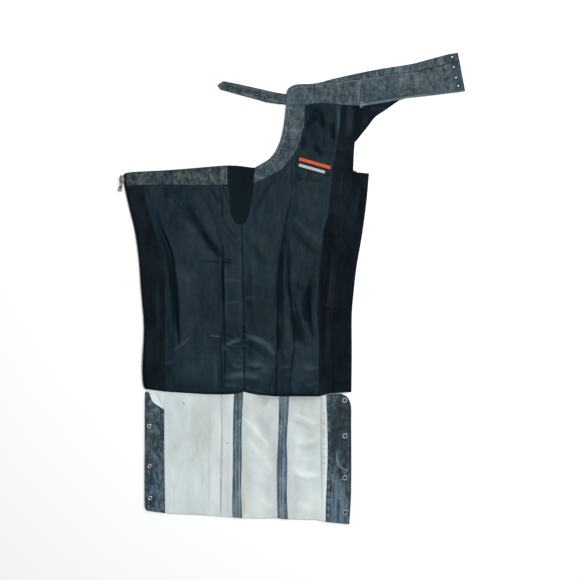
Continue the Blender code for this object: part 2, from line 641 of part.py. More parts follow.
def zip_sides():
    """Cloth facings and tapes of both zip edges, and the storm flap over the right one."""
    upper = raised(on_leather, FACING)
    left, right = back(STRIP_LEFT_OUTER), back(STRIP_LEFT_INNER)
    wall("zip_facing_left", (left, right, LINING_HEM_STRIP, FACING_FOOT_STRIP),
         on_leather, upper, BLACK_CLOTH)
    right = joined(HIP_SEAM, HIP_SEAM_LOW, GROOVE)
    foot, top = along([STRIP_RIGHT_INNER[-1], GROOVE[-1]], 3), joined(WAIST_STRIP, YOKE_SEAM_START)
    wall("zip_facing_right", (back(STRIP_RIGHT_INNER), back(right), foot, top),
         on_leather, upper, BLACK_CLOTH)
    outer, inner = shifted(ZIP_LINE, TAPE_EDGE), shifted(ZIP_LINE, STRIP_EDGE)
    outer[0] = outer[0] - Vector((0, TAPE_END_SLANT))
    ends = (along([outer[-1], inner[-1]], 3), along([outer[0], inner[0]], 3))
    wall("zip_tape_left", (back(outer), back(inner), *ends), left_tape_base,
         raised(left_tape_base, TAPE), BLACK_CLOTH)
    outer, inner = (across(GROOVE, FLAP_EDGE, share)[1:-1] for share in FLAP_TAPE)
    ends = (along([outer[-1], inner[-1]], 5), along([outer[0], inner[0]], 5))
    wall("zip_tape_right", (back(outer), back(inner), *ends), right_tape_base,
         raised(right_tape_base, TAPE), BLACK_CLOTH)
    ends = (along([GROOVE[-1], FLAP_EDGE[-1]], 8), along([GROOVE[0], FLAP_EDGE[0]], 8))
    wall("storm_flap", (back(GROOVE), back(FLAP_EDGE), *ends),
         flap_base, raised(flap_base, FLAP), BLACK_CLOTH)


def hem_between(start, end, steps):
    """steps + 1 points of the lining hem, evenly spaced in x from start to end."""
    hem = joined(LINING_HEM_BACK, LINING_HEM_INNER, LINING_HEM_FRONT)
    points = []
    for step in range(steps + 1):
        x = start + (end - start) * step / steps
        left, right = next((a, b) for a, b in zip(hem, hem[1:]) if x <= b.x)
        points.append(left.lerp(right, (x - left.x) / (right.x - left.x)))
    return points


def lower_leg():
    """Snap facings and seam tapes on the bare flesh side below the lining, whose hem the tapes meet."""
    upper = raised(on_leather, FACING)
    left = joined(along([(-361.5, -555.5), (-366.7, -548), (-366.7, -303)], 6),
                  along([(-366.7, -303), (-366, -259)], 4))
    right = joined(along([(-316, -561.5), (-318, -400), (-318, -303)], 6),
                   along([(-318, -303), (-347, -283), (-352, -272), (-357, -259)], 4))
    wall("snap_facing_left", (left, right, along([left[0], right[0]], 3), along([left[-1], right[-1]], 3)),
         on_leather, upper, BLUE_LEATHER)
    left = along([(85.5, -583.3), (86, -541), (90, -445), (90, -350), (87, -266.3)], 10)
    right = joined(along([(144.6, -589.3), (149.2, -505), (149.2, -297)], 6),
                   along([(149.2, -297), (145.5, -281), (138.5, -270), (122, -263)], 4))
    top = along([(87, -266.3), (100, -262.9), (108, -262.4), (122, -263)], 4)
    wall("snap_facing_right", (left, right, along([left[0], right[0]], 4), top),
         on_leather, upper, BLUE_LEATHER)
    for name, left_rows, right_rows, top_at in SEAM_TAPES:
        top = hem_between(*top_at, TAPE_COLUMNS)
        left, right = along([*left_rows, top[0]], TAPE_ROWS), along([*right_rows, top[-1]], TAPE_ROWS)
        wall(name, (left, right, along([left[0], right[0]], TAPE_COLUMNS), top),
             on_leather, upper, BLUE_LEATHER)


def belt_strap():
    foot = along([(-177.5, 497.5), (-125, 483), (-88, 473), (-59, 465), (-14, 460), (12, 461)], 12)
    top = along([(-170.5, 519), (-131, 511), (-73, 498), (-37, 490), (-12, 486), (12, 485)], 12)
    tip = [foot[0], Vector((-186, 508.5)), top[0]]
    strap = wall("belt_strap", (tip, along([foot[-1], top[-1]], 2), foot, top),
                 strap_base, strap_top, GREY_LEATHER)
    punched("strap_hole", STRAP_HOLES, STRAP_HOLE, [strap], GREY_LEATHER)


def label_piece(name, middle, size, columns):
    """A flat label whose middle lies at a place along and across the tilted label's own sides."""
    turn = Matrix.Rotation(LABEL_TILT, 2)
    half = Vector(size) / 2

    def corner(a, b):
        return Vector(LABEL_AT) + turn @ (Vector(middle) + Vector((a * half.x, b * half.y)))

    left, right = along([corner(-1, -1), corner(-1, 1)], 2), along([corner(1, -1), corner(1, 1)], 2)
    foot = along([corner(-1, -1), corner(1, -1)], columns)
    top = along([corner(-1, 1), corner(1, 1)], columns)
    wall(name, (left, right, foot, top), label_base, raised(label_base, LABEL), BLACK_CLOTH)


def fasteners(outer, facing, turnover):
    """Snaps, lacing eyelets and their holes. The second row of eyelets goes through the facing alone."""
    on_facing = SECOND + FACING + LAYER_GAP
    for side, places, profile in (("left", SNAPS_LEFT, SNAP_LEFT), ("right", SNAPS_RIGHT, SNAP_RIGHT)):
        for number, place in enumerate(places, 1):
            turned(f"snap_{side}_{number}", profile, place, on_facing, STEEL)
    hole = EYELET_BARREL + HOLE_CLEARANCE
    punched("open_hole", EYELETS_OPEN, hole, [outer, facing, turnover], GREY_LEATHER)
    punched("blind_hole", EYELETS_BLIND, hole, [facing, turnover], GREY_LEATHER)
    top = on_facing + EYELET_FLANGE_HEIGHT
    rows = (
        ("eyelet_open", EYELETS_OPEN, EYELET_FOOT, STEEL),
        ("eyelet_blind", EYELETS_BLIND, SECOND, BLACK_METAL))
    for name, places, foot, finish in rows:
        profile = (
            (EYELET_BORE, foot), (EYELET_BARREL, foot), (EYELET_BARREL, on_facing),
            (EYELET_FLANGE, on_facing), (EYELET_FLANGE - EYELET_BEVEL, top), (EYELET_BORE, top))
        for number, place in enumerate(places, 1):
            turned(f"{name}_{number}", profile, place, 0, finish)


def slider():
    """The left zip's slider, open to the right for the tape, with the bridge that its pull turns in."""
    half, length = SLIDER_HALF_WIDTH, SLIDER_HALF_LENGTH
    low, high = SLIDER_SLOT
    inside = SLIDER_WALL - half
    section = ((-half, 0), (half, 0), (half, low), (inside, low), (inside, high), (half, high),
               (half, SLIDER_TOP), (-half, SLIDER_TOP))
    body = prism("zip_slider", section, -length, length,
                 lambda a, b, depth: placed(SLIDER_AT[0] + a, SLIDER_AT[1] + depth, b), STEEL)
    outline = [(-wide, b) for b, wide in SLIDER_SHIELD] + [(wide, b) for b, wide in reversed(SLIDER_SHIELD)]
    shield = prism("slider_shield", outline, -SLIDER_TOP, 2 * SLIDER_TOP,
                   lambda a, b, depth: placed(SLIDER_AT[0] + a, SLIDER_AT[1] + b, depth), STEEL)
    combine(body, shield, "INTERSECT")
    start, end = BRIDGE_ALONG
    arch = ((start, BRIDGE_ROOT), (start + BRIDGE_LEG, BRIDGE_ROOT), (start + BRIDGE_LEG, BRIDGE_UNDER),
            (end - BRIDGE_LEG, BRIDGE_UNDER), (end - BRIDGE_LEG, BRIDGE_ROOT), (end, BRIDGE_ROOT),
            (end, BRIDGE_TOP), (start, BRIDGE_TOP))
    bridge = prism("slider_bridge", arch, -BRIDGE_HALF_WIDTH, BRIDGE_HALF_WIDTH,
                   lambda a, b, depth: placed(SLIDER_AT[0] + depth, SLIDER_AT[1] + a, b), STEEL)
    combine(body, bridge, "UNION")


def pull():
    """The slider's pull tab. Its origin is on the middle of the bar that turns in the bridge."""
    def own(a, b, depth):
        return Vector((a, b, depth)) * MM

    half = PULL_THICK / 2
    outline = list(PULL_OUTLINE) + [(-a, b) for a, b in reversed(PULL_OUTLINE)]
    tab = prism("zip_pull", outline, -half, half, own, STEEL)
    window = list(PULL_WINDOW) + [(-a, b) for a, b in reversed(PULL_WINDOW)]
    steps = [2 * math.pi * step / HOLE_STEPS for step in range(HOLE_STEPS)]
    hole = [(PULL_HOLE * math.cos(angle), PULL_HOLE * math.sin(angle) + PULL_HOLE_AT) for angle in steps]
    place = placed(SLIDER_AT[0], SLIDER_AT[1] + PULL_AXIS_ALONG, PULL_AXIS_HEIGHT)
    turn = Matrix.Rotation(-PULL_ASKEW, 3, "Z") @ Matrix.Rotation(PULL_DROOP, 3, "X")
    for name, opening in (("pull_window", window), ("pull_hole", hole)):
        combine(tab, prism(name, opening, -PULL_THICK, PULL_THICK, own, STEEL), "DIFFERENCE")
    for shape in (tab, bpy.data.objects["pull_window"], bpy.data.objects["pull_hole"]):
        shape.location = place
        shape.rotation_euler = turn.to_euler()


def main():
    clear_scene()
    leather_panels()
    outer = waist_leather()
    facing, turnover = waist_facings()
    leg_facings()
    lining_panels()
    zip_sides()
    lower_leg()
    belt_strap()
    label_piece("label", (0, 0), LABEL_SIZE, 8)
    label_piece("size_tab", SIZE_TAB_AT, SIZE_TAB_SIZE, 2)
    fasteners(outer, facing, turnover)
    slider()
    pull()


main()
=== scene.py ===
"""Looks of the laid-out leather chaps leg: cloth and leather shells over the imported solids, with stitching, zip
teeth, hardware, materials, a pale floor, soft light and the camera.

Tables are in the part's own plan millimetres; plan() takes them to the frame's millimetres.
"""

import math
from collections import namedtuple
from contextlib import contextmanager

import bmesh
import bpy
import numpy as np
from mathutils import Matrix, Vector, noise
from mathutils.bvhtree import BVHTree
from mathutils.geometry import delaunay_2d_cdt


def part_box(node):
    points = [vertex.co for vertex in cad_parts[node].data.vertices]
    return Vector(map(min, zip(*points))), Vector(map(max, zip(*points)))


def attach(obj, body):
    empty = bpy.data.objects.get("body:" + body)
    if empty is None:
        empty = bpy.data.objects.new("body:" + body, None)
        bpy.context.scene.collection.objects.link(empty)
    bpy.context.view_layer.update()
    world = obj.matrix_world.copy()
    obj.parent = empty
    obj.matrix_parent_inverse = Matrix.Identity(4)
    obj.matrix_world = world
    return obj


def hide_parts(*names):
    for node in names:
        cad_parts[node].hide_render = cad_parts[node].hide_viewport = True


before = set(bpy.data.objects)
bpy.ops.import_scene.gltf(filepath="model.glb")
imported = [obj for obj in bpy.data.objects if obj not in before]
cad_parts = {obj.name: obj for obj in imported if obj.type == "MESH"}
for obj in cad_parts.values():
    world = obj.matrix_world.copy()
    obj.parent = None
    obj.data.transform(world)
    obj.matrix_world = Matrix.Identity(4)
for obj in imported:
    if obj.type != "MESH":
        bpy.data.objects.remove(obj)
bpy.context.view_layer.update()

MM = 0.001
PLAN_MIDDLE = np.array((0.31, 0.0))


def plan(rows):
    return np.array(rows, float) - PLAN_MIDDLE


# ---------------------------------------------------------------- materials


class Tree:
    """A material's nodes, made with short calls."""

    def __init__(self, name):
        self.made = bpy.data.materials.new(name)
        self.made.use_nodes = True
        self.shader = self.made.node_tree.nodes["Principled BSDF"]
        self.coordinates = self.node("TexCoord", "Object", {})

    def give(self, socket, value):
        if isinstance(value, bpy.types.NodeSocket):
            self.made.node_tree.links.new(value, socket)
        else:
            socket.default_value = (*value, 1.0) if socket.type == "RGBA" else value

    def node(self, kind, output, inputs, **settings):
        """One output of a new node, with its settings made and its inputs set or linked."""
        node = self.made.node_tree.nodes.new("ShaderNode" + kind)
        for key, value in settings.items():
            setattr(node, key, value)
        for key, value in inputs.items():
            self.give(node.inputs[key], value)
        return node.outputs[output]

    def finish(self, **values):
        """The material, with its shader's own sockets set or linked."""
        for key, value in values.items():
            self.give(self.shader.inputs[key.replace("_", " ")], value)
        return self.made

    def mapped(self, scale, turn):
        return self.node("Mapping", "Vector", {"Scale": scale, "Rotation": (0, 0, turn), "Vector": self.coordinates})

    def noise(self, scale, detail=4.0, rough=0.55, stretch=None, turn=0.0):
        place = self.coordinates if stretch is None else self.mapped((1.0, stretch, 1.0), turn)
        return self.node("TexNoise", "Fac", {"Scale": scale, "Detail": detail, "Roughness": rough, "Vector": place})

    def cells(self, scale):
        return self.node("TexVoronoi", "Distance", {"Scale": scale, "Vector": self.coordinates},
                         feature="DISTANCE_TO_EDGE")

    def waves(self, scale, direction, distortion=0.0, turn=0.0):
        return self.node("TexWave", "Fac", {"Scale": scale, "Distortion": distortion, "Detail Scale": 2.0,
                                            "Vector": self.mapped((1, 1, 1), turn)},
                         wave_type="BANDS", bands_direction=direction)

    def attribute(self, name):
        return self.node("Attribute", "Fac", {}, attribute_name=name)

    def ranged(self, source, low, high, to_low=0.0, to_high=1.0):
        return self.node("MapRange", "Result", {"Value": source, "From Min": low, "From Max": high, "To Min": to_low,
                                                "To Max": to_high}, interpolation_type="SMOOTHSTEP")

    def total(self, *parts):
        """Sum of sources, each times its share."""
        scaled = [self.node("Math", "Value", {0: source, 1: share}, operation="MULTIPLY") for source, share in parts]
        found = scaled[0]
        for one in scaled[1:]:
            found = self.node("Math", "Value", {0: found, 1: one}, operation="ADD")
        return found

    def ramp(self, source, *stops):
        node = self.made.node_tree.nodes.new("ShaderNodeValToRGB")
        elements = node.color_ramp.elements
        for index, (position, colour) in enumerate(stops):
            element = elements[index] if index < 2 else elements.new(position)
            element.position = position
            element.color = (*colour, 1.0)
        self.give(node.inputs["Fac"], source)
        return node.outputs["Color"]

    def mix(self, factor, a, b, blend="MIX"):
        return self.node("Mix", 2, {0: factor, 6: a, 7: b}, data_type="RGBA", blend_type=blend)

    def tint(self, base, source, span, colour):
        """The base, turned to a colour as a source goes over a span: its start and end, and the share at each."""
        return self.mix(self.ranged(source, *span), base, colour)

    def drifting(self, base, scale, warm, cool):
        """The base, times a tint that drifts from warm to cool."""
        return self.mix(1.0, base, self.ramp(self.noise(scale, 3, 0.5), (0.4, warm), (0.6, cool)), "MULTIPLY")

    def shaded(self, base, light, dark, most_light=0.9, most_dark=0.9):
        """The base with its shading strokes: painted highlights on the ridges and painted shade in the hollows."""
        shade = self.attribute("shade")
        base = self.tint(base, shade, (0.0, 1.0, 0.0, most_light), light)
        return self.tint(base, shade, (0.0, -1.0, 0.0, most_dark), dark)

    def bump(self, source, distance_mm, strength, *onto):
        normal = self.node("Bump", "Normal", {"Distance": distance_mm * MM, "Strength": strength, "Height": source,
                                              **{"Normal": below for below in onto}})
        self.finish(Normal=normal)
        return normal


LIGHT = 1.1  # what the lights make of a white surface that lies flat
DARKEST = 0.0015


def linear(red, green, blue, haze=0.0):
    """The shader's colour for a surface that shows as these 0 to 255 values under the lights, less its gloss."""
    values = (((v / 255 + 0.055) / 1.055) ** 2.4 for v in (red, green, blue))
    return tuple(max((v - haze) / LIGHT, DARKEST) for v in values)


def leather(name, dark, middle, light, roughness, streaks, cell=850, level=0.14):
    """Grain leather, brushed in streaks of a given scale, stretch and turn, with painted highlights on its folds and
    painted shade in its hollows and near its outline.
    """
    t = Tree(name)
    dark, middle, light = linear(*dark), linear(*middle), linear(*light)
    scale, stretch, turn = streaks
    fine = t.noise(260, 4, 0.65)
    grain = t.total((t.noise(scale, 5, 0.6, stretch, turn), 0.5), (t.noise(24, 4, 0.6), 0.22), (fine, 0.28))
    base = t.ramp(grain, (0.395, dark), (0.502, middle), (0.622, light))
    base = t.drifting(base, 13, (1.05, 1.0, 0.93), (0.93, 1.0, 1.07))
    # Painted shade: the leather turns darker within about a millimetre of its outline.
    base = t.tint(base, t.attribute("rim"), (0.1, 1.3, 0.6, 0.0), dark)
    # Painted highlights on the ridges and painted shade in the hollows, from the shading strokes.
    base = t.shaded(base, light, dark, 0.95, 0.95)
    t.bump(grain, 0.7, 0.5, t.bump(t.cells(cell), 0.12, 0.55))
    return t.finish(Base_Color=base, Specular_IOR_Level=level,
                    Roughness=t.ranged(fine, 0.3, 0.7, roughness - 0.07, roughness + 0.09))


def suede(name):
    """The flesh side of undyed leather: off-white nap with faint streaks and a few stains."""
    t = Tree(name)
    fine = t.noise(420, 5, 0.75)
    base = t.ramp(t.noise(14, 4, 0.6, 0.35), (0.34, linear(190, 199, 196)), (0.5, linear(203, 213, 212)),
                  (0.66, linear(216, 227, 229)))
    for source, span, colour in ((t.noise(95, 5, 0.8), (0.62, 0.8, 0.0, 0.32), (164, 171, 170)),
                                 (fine, (0.55, 0.75, 0.0, 0.22), (172, 180, 179)),
                                 (t.attribute("stain"), (0.0, 1.0, 0.0, 0.75), (196, 190, 152)),
                                 (t.attribute("spot"), (0.0, 1.0, 0.0, 0.7), (128, 128, 120))):
        base = t.tint(base, source, span, linear(*colour))
    base = t.drifting(base, 9, (1.01, 1.0, 0.98), (0.992, 1.0, 1.015))
    # Painted highlights on the ridges, and painted shade in the hollows and under the lining's hem.
    base = t.shaded(base, linear(234, 240, 240), linear(150, 150, 152))
    # Painted shade: the suede is made dark where the lining or the facings lie over it.
    base = t.mix(t.attribute("covered"), base, linear(40, 48, 54))
    t.bump(t.noise(120, 5, 0.7, 0.5), 0.5, 0.4, t.bump(fine, 0.25, 0.6))
    return t.finish(Base_Color=base, Roughness=0.95, Specular_IOR_Level=0.15, Sheen_Weight=0.12, Sheen_Roughness=0.6)


def nylon(name):
    """Lining: a fine plain weave with a soft shine and small wrinkles."""
    t = Tree(name)
    haze = 0.0075
    broad = t.total((t.noise(9, 4, 0.55, 0.45), 0.6), (t.noise(90, 4, 0.6, 0.3, 0.35), 0.4))
    base = t.ramp(broad, (0.38, linear(27, 39, 46, haze)), (0.5, linear(33, 46, 54, haze)),
                  (0.62, linear(40, 54, 62, haze)))
    base = t.drifting(base, 15, (1.07, 1.01, 0.93), (0.94, 0.99, 1.07))
    # Painted highlights and sheen on the ridges and painted shade in the hollows, from the shading strokes.
    base = t.shaded(base, linear(72, 92, 104, haze), linear(11, 20, 26), 0.9, 0.97)
    # Painted shade: darker along the seams and hem, within about 1.6 mm of the outline.
    base = t.tint(base, t.attribute("rim"), (0.0, 1.6, 0.5, 0.0), linear(14, 24, 31))
    weave = t.node("Math", "Value", {0: t.waves(700, "X", 0.4), 1: t.waves(700, "Y", 0.4)}, operation="MULTIPLY")
    t.bump(t.noise(26, 3, 0.5, 0.4), 2.2, 0.35, t.bump(weave, 0.05, 0.5))
    # The gloss fades out where the painted shade is darkest.
    return t.finish(Base_Color=base, Specular_IOR_Level=t.ranged(t.attribute("shade"), -0.1, -0.9, 0.05, 0.0),
                    Roughness=t.ranged(t.noise(60, 4, 0.6), 0.3, 0.7, 0.4, 0.52))


def matt_cloth(name, dark, light, scale=520, turn=0.78, ribs=False):
    """Matt black cloth: a twill, or ribs for the stretch knit."""
    t = Tree(name)
    lint = t.noise(330, 5, 0.8)
    base = t.ramp(t.noise(16, 4, 0.6, 0.5), (0.32, linear(*dark)), (0.7, linear(*light)))
    base = t.tint(base, lint, (0.64, 0.8, 0.0, 0.25), linear(58, 66, 74))
    # Painted highlights on the ridges and painted shade in the hollows and seams, from the shading strokes.
    base = t.shaded(base, linear(46, 59, 68), linear(8, 12, 16))
    ridges = t.waves(260, "X") if ribs else t.waves(scale, "X", 0.6, turn)
    t.bump(t.noise(45, 4, 0.6), 0.7, 0.4, t.bump(ridges, 0.12 if ribs else 0.08, 0.6))
    return t.finish(Base_Color=base, Specular_IOR_Level=0.05, Roughness=t.ranged(lint, 0.3, 0.7, 0.78, 0.95))


def thread(name, colour, other):
    t = Tree(name)
    t.bump(t.waves(900, "X", 1.0, 0.6), 0.05, 0.6)
    return t.finish(Base_Color=t.mix(t.noise(900, 3, 0.6), linear(*colour), linear(*other)), Roughness=0.75,
                    Specular_IOR_Level=0.25)


def metal(name, colour, worn, roughness):
    t = Tree(name)
    marks = t.noise(380, 5, 0.7)
    t.bump(t.noise(900, 3, 0.6), 0.03, 0.4)
    return t.finish(Base_Color=t.mix(t.ranged(marks, 0.45, 0.7), colour, worn), Metallic=1.0,
                    Roughness=t.ranged(marks, 0.3, 0.7, roughness - 0.07, roughness + 0.16))


def woven(name, colour, other):
    """Woven label cloth."""
    t = Tree(name)
    rows = t.waves(420, "Y", 0.3, -0.28)
    lit = t.node("Math", "Value", {0: rows, 1: t.noise(160, 4, 0.7)}, operation="MULTIPLY")
    t.bump(rows, 0.08, 0.6)
    return t.finish(Base_Color=t.mix(lit, linear(*colour), linear(*other)), Roughness=0.7, Specular_IOR_Level=0.2)


def plastic(name, colour):
    t = Tree(name)
    marks = t.noise(500, 4, 0.6)
    t.bump(marks, 0.04, 0.5)
    return t.finish(Base_Color=t.mix(marks, colour, tuple(c * 1.6 for c in colour)),
                    Roughness=t.ranged(marks, 0.3, 0.7, 0.3, 0.5))


GREY_FACING = leather("grey_leather_inside", (42, 53, 60, 0.012), (65, 78, 85, 0.013), (98, 112, 119, 0.014), 0.6,
                      (150, 0.62, 0.5))
THIGH_LEATHER = leather("grey_leather_thigh", (27, 35, 39, 0.008), (50, 60, 64, 0.011), (90, 102, 105, 0.012), 0.62,
                        (95, 0.8, 0.0))
TURNOVER = leather("grey_leather_turnover", (34, 45, 52, 0.01), (66, 79, 87, 0.013), (102, 116, 124, 0.014), 0.56,
                   (120, 0.4, 0.2))
STRAP_LEATHER = leather("grey_leather_strap", (32, 40, 44, 0.008), (61, 73, 76, 0.011), (98, 110, 113, 0.012), 0.58,
                        (110, 2.4, 0.2))
BLUE_LEATHER = leather("blue_leather", (31, 43, 51, 0.006), (59, 75, 84, 0.006), (106, 127, 143, 0.006), 0.55,
                       (120, 0.45, 0.0))
PALE_BLUE_LEATHER = leather("blue_leather_worn", (48, 64, 75), (86, 105, 116), (134, 155, 167), 0.52, (190, 0.1, 0.0))
OUTER_GRAIN = leather("grey_leather_outside", (34, 42, 47), (46, 56, 62), (70, 82, 88), 0.48, (40, 0.8, 0.0), 700,
                      0.25)
SUEDE = suede("leather_flesh_side")
NYLON = nylon("nylon_lining")
STRIP = matt_cloth("black_cloth", (14, 20, 26, 0.002), (31, 39, 46, 0.002))
FLAP_CLOTH = matt_cloth("black_flap_cloth", (13, 19, 25, 0.002), (27, 37, 45, 0.002))
HIP_CLOTH = matt_cloth("black_hip_cloth", (8, 13, 18, 0.001), (31, 41, 50, 0.002))
TAPE_CLOTH = matt_cloth("black_tape", (14, 18, 22, 0.002), (22, 27, 31, 0.002), 900, 0.0)
KNIT = matt_cloth("black_stretch_knit", (17, 26, 31, 0.002), (21, 32, 37, 0.002), ribs=True)
LABEL_CLOTH = woven("label_black", (8, 12, 15), (22, 27, 31))
LABEL_ORANGE = woven("label_orange", (186, 80, 40), (220, 108, 60))
LABEL_PALE = woven("label_pale", (158, 166, 174), (204, 210, 215))
PALE_THREAD = thread("pale_thread", (176, 188, 193), (206, 216, 220))
GREY_THREAD = thread("grey_thread", (54, 64, 70), (76, 88, 95))
DARK_THREAD = thread("dark_thread", (16, 21, 26), (30, 37, 43))
NICKEL = metal("nickel", (0.105, 0.112, 0.108), (0.05, 0.054, 0.052), 0.4)
BRIGHT_NICKEL = metal("bright_nickel", (0.5, 0.53, 0.55), (0.3, 0.32, 0.34), 0.36)
BLACKENED = metal("blackened_metal", (0.035, 0.041, 0.046), (0.1, 0.108, 0.115), 0.42)
COIL = plastic("black_nylon_coil", (0.012, 0.013, 0.015))


# ---------------------------------------------------------------- outlines and heights


def cad_mesh(name):
    """Welded points in millimetres and triangles of a CAD node."""
    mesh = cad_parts[name].data
    points = np.empty(len(mesh.vertices) * 3)
    mesh.vertices.foreach_get("co", points)
    mesh.calc_loop_triangles()
    faces = np.empty(len(mesh.loop_triangles) * 3, np.int32)
    mesh.loop_triangles.foreach_get("vertices", faces)
    welded, index = np.unique(np.round(points.reshape(-1, 3) / MM, 2), axis=0, return_inverse=True)
    faces = index.reshape(-1)[faces].reshape(-1, 3)
    whole = (faces != np.roll(faces, 1, 1)).all(axis=1)
    return welded, faces[whole]


FLAT_ENOUGH, SLIVER = 0.3, 0.02


def facing(points, faces, sign):
    """The faces that look up, or down, with the slivers between them."""
    a, b, c = (points[faces[:, k]] for k in range(3))
    normal = np.cross(b - a, c - a)
    size = np.linalg.norm(normal, axis=1)
    looks = sign * normal[:, 2] > FLAT_ENOUGH * size
    sliver = size < SLIVER
    known = np.zeros(len(points), bool)
    known[faces[looks & ~sliver]] = True
    other = np.zeros(len(points), bool)
    other[faces[~looks & ~sliver & (np.abs(normal[:, 2]) > FLAT_ENOUGH * size)]] = True
    return faces[(looks & ~sliver) | (sliver & known[faces].all(axis=1) & ~other[faces].all(axis=1))]


def edge_ends(faces):
    return np.concatenate([faces[:, [0, 1]], faces[:, [1, 2]], faces[:, [2, 0]]])


def one_sided(ends):
    """The directed edges that no other face shares."""
    known = {(int(a), int(b)) for a, b in ends}
    return [(a, b) for a, b in known if (b, a) not in known]


def border_loops(points, faces):
    """Closed outlines of a set of faces in the plan, the longest first and anticlockwise."""
    follow = {}
    for a, b in one_sided(edge_ends(faces)):
        follow.setdefault(a, []).append(b)
    loops = []
    while follow:
        start = next(iter(follow))
        loop, after = [start], start
        while True:
            options = follow[after]
            step = options.pop()
            if not options:
                del follow[after]
            after = step
            if after == start or after not in follow:
                break
            loop.append(after)
        if len(loop) > 3 and abs(loop_area(points[loop][:, :2])) > 1.0:
            loops.append(points[loop][:, :2])
    loops.sort(key=lambda loop: -abs(loop_area(loop)))
    return loops


def loop_area(loop):
    x, y = loop[:, 0], loop[:, 1]
    return 0.5 * float(np.sum(x * np.roll(y, -1) - np.roll(x, -1) * y))


def hermite(start, leaving, end, reaching, t):
    """A point of the smooth curve from start to end, from its slopes there."""
    return (start * (2 * t**3 - 3 * t**2 + 1) + leaving * (t**3 - 2 * t**2 + t)
            + end * (3 * t**2 - 2 * t**3) + reaching * (t**3 - t**2))


CORNER = math.cos(math.radians(34))


def refined(loop, spacing):
    """The loop as a smooth curve with a point every spacing, its corners kept."""
    loop = loop[np.linalg.norm(np.roll(loop, -1, 0) - loop, axis=1) > 0.05]
    ahead = np.roll(loop, -1, 0) - loop
    length = np.linalg.norm(ahead, axis=1)
    way = ahead / length[:, None]
    back_way, back_length = np.roll(way, 1, 0), np.roll(length, 1)
    corner = np.sum(way * back_way, axis=1) < CORNER
    slope = (ahead + back_way * back_length[:, None]) / (length + back_length)[:, None]
    leaving = np.where(corner[:, None], way, slope)
    reaching = np.roll(np.where(corner[:, None], back_way, slope), -1, 0)
    points = []
    for i, start in enumerate(loop):
        steps = max(1, round(length[i] / spacing))
        points += [hermite(start, leaving[i] * length[i], loop[(i + 1) % len(loop)], reaching[i] * length[i],
                           step / steps) for step in range(steps)]
    return np.array(points)


def curve(rows, steps=60):
    """A smooth open line through rows of the part's plan."""
    points = plan(rows)
    reach = reaches(points)
    slopes = np.gradient(points, reach, axis=0)
    found = []
    for d in np.linspace(0, reach[-1], steps + 1):
        i = min(int(np.searchsorted(reach, d, "right")) - 1, len(points) - 2)
        length = reach[i + 1] - reach[i]
        found.append(hermite(points[i], slopes[i] * length, points[i + 1], slopes[i + 1] * length,
                             (d - reach[i]) / length))
    return np.array(found)


def reaches(line):
    """Distance of each point of a line along it."""
    return np.concatenate([[0.0], np.cumsum(np.linalg.norm(np.diff(line, axis=0), axis=1))])


def walked(line, pitch):
    """Points every pitch along an open line."""
    reach = reaches(line)
    wanted = np.linspace(0, reach[-1], max(2, int(reach[-1] / pitch)) + 1)
    return np.column_stack([np.interp(wanted, reach, line[:, k]) for k in range(2)])


def inset(loop, distance):
    """An anticlockwise loop moved inwards, or outwards where the distance is under 0."""
    ahead = np.roll(loop, -1, 0) - loop
    ahead /= np.maximum(np.linalg.norm(ahead, axis=1), 1e-9)[:, None]
    behind = np.roll(ahead, 1, 0)
    inward = np.stack([-ahead[:, 1] - behind[:, 1], ahead[:, 0] + behind[:, 0]], 1)
    inward /= np.maximum(np.linalg.norm(inward, axis=1), 1e-9)[:, None]
    mitre = np.maximum(-inward[:, 0] * behind[:, 1] + inward[:, 1] * behind[:, 0], 0.5)
    return loop + inward * (distance / mitre)[:, None]


BATCH = 2000  # points that are compared with a loop at once


def to_border(points, loops):
    """Distance of each point from the nearest loop."""
    found = np.full(len(points), np.inf)
    for loop in loops:
        run = np.roll(loop, -1, 0) - loop
        size = np.maximum(np.sum(run * run, axis=1), 1e-12)
        for first in range(0, len(points), BATCH):
            off = points[first:first + BATCH, None, :] - loop[None]
            t = np.clip(np.sum(off * run[None], axis=2) / size[None], 0, 1)
            gap = off - t[:, :, None] * run[None]
            near = np.sqrt(np.min(np.sum(gap * gap, axis=2), axis=1))
            found[first:first + BATCH] = np.minimum(found[first:first + BATCH], near)
    return found


def within(points, loops):
    """Whether each point is inside the first loop and outside the others."""
    crossings = np.zeros(len(points), np.int64)
    for x0, y0 in (loop.T for loop in loops):
        x1, y1 = np.roll(x0, -1), np.roll(y0, -1)
        rise = np.where(y1 == y0, 1e-12, y1 - y0)
        for first in range(0, len(points), BATCH):
            x, y = points[first:first + BATCH, :1], points[first:first + BATCH, 1:]
            left = x < (x1 - x0)[None] * (y - y0[None]) / rise[None] + x0[None]
            crossings[first:first + BATCH] += np.sum(((y0[None] > y) != (y1[None] > y)) & left, axis=1)
    return crossings % 2 == 1


def height_of(points, faces):
    """A function of the plan that gives a surface's height, and the nearest one just past its edge."""
    tree = BVHTree.FromPolygons([tuple(p) for p in points], [tuple(int(i) for i in f) for f in faces])
    high = float(points[:, 2].max()) + 10

    def height(x, y):
        hit = tree.ray_cast(Vector((x, y, high)), Vector((0, 0, -1)))[0]
        if hit is None:
            hit = tree.find_nearest(Vector((x, y, high - 10)))[0]
        return hit.z

    return height


def fade(value, start, end):
    t = np.clip((value - start) / (end - start), 0, 1)
    return t * t * (3 - 2 * t)


def clouds(points, size, seed, stretch=1.0):
    """Smooth noise of about -0.5 to 0.5 over the plan, with lumps of about size, longer up the leg by stretch."""
    return np.array([noise.fractal(Vector((x / size + seed * 7.3, y / (size * stretch) - seed * 3.1, seed)),
                                   1.0, 2.0, 2) for x, y in points])


Crease = namedtuple("Crease", "line width height lean")  # lean: 0 even, above 0 steeper on the right of its run


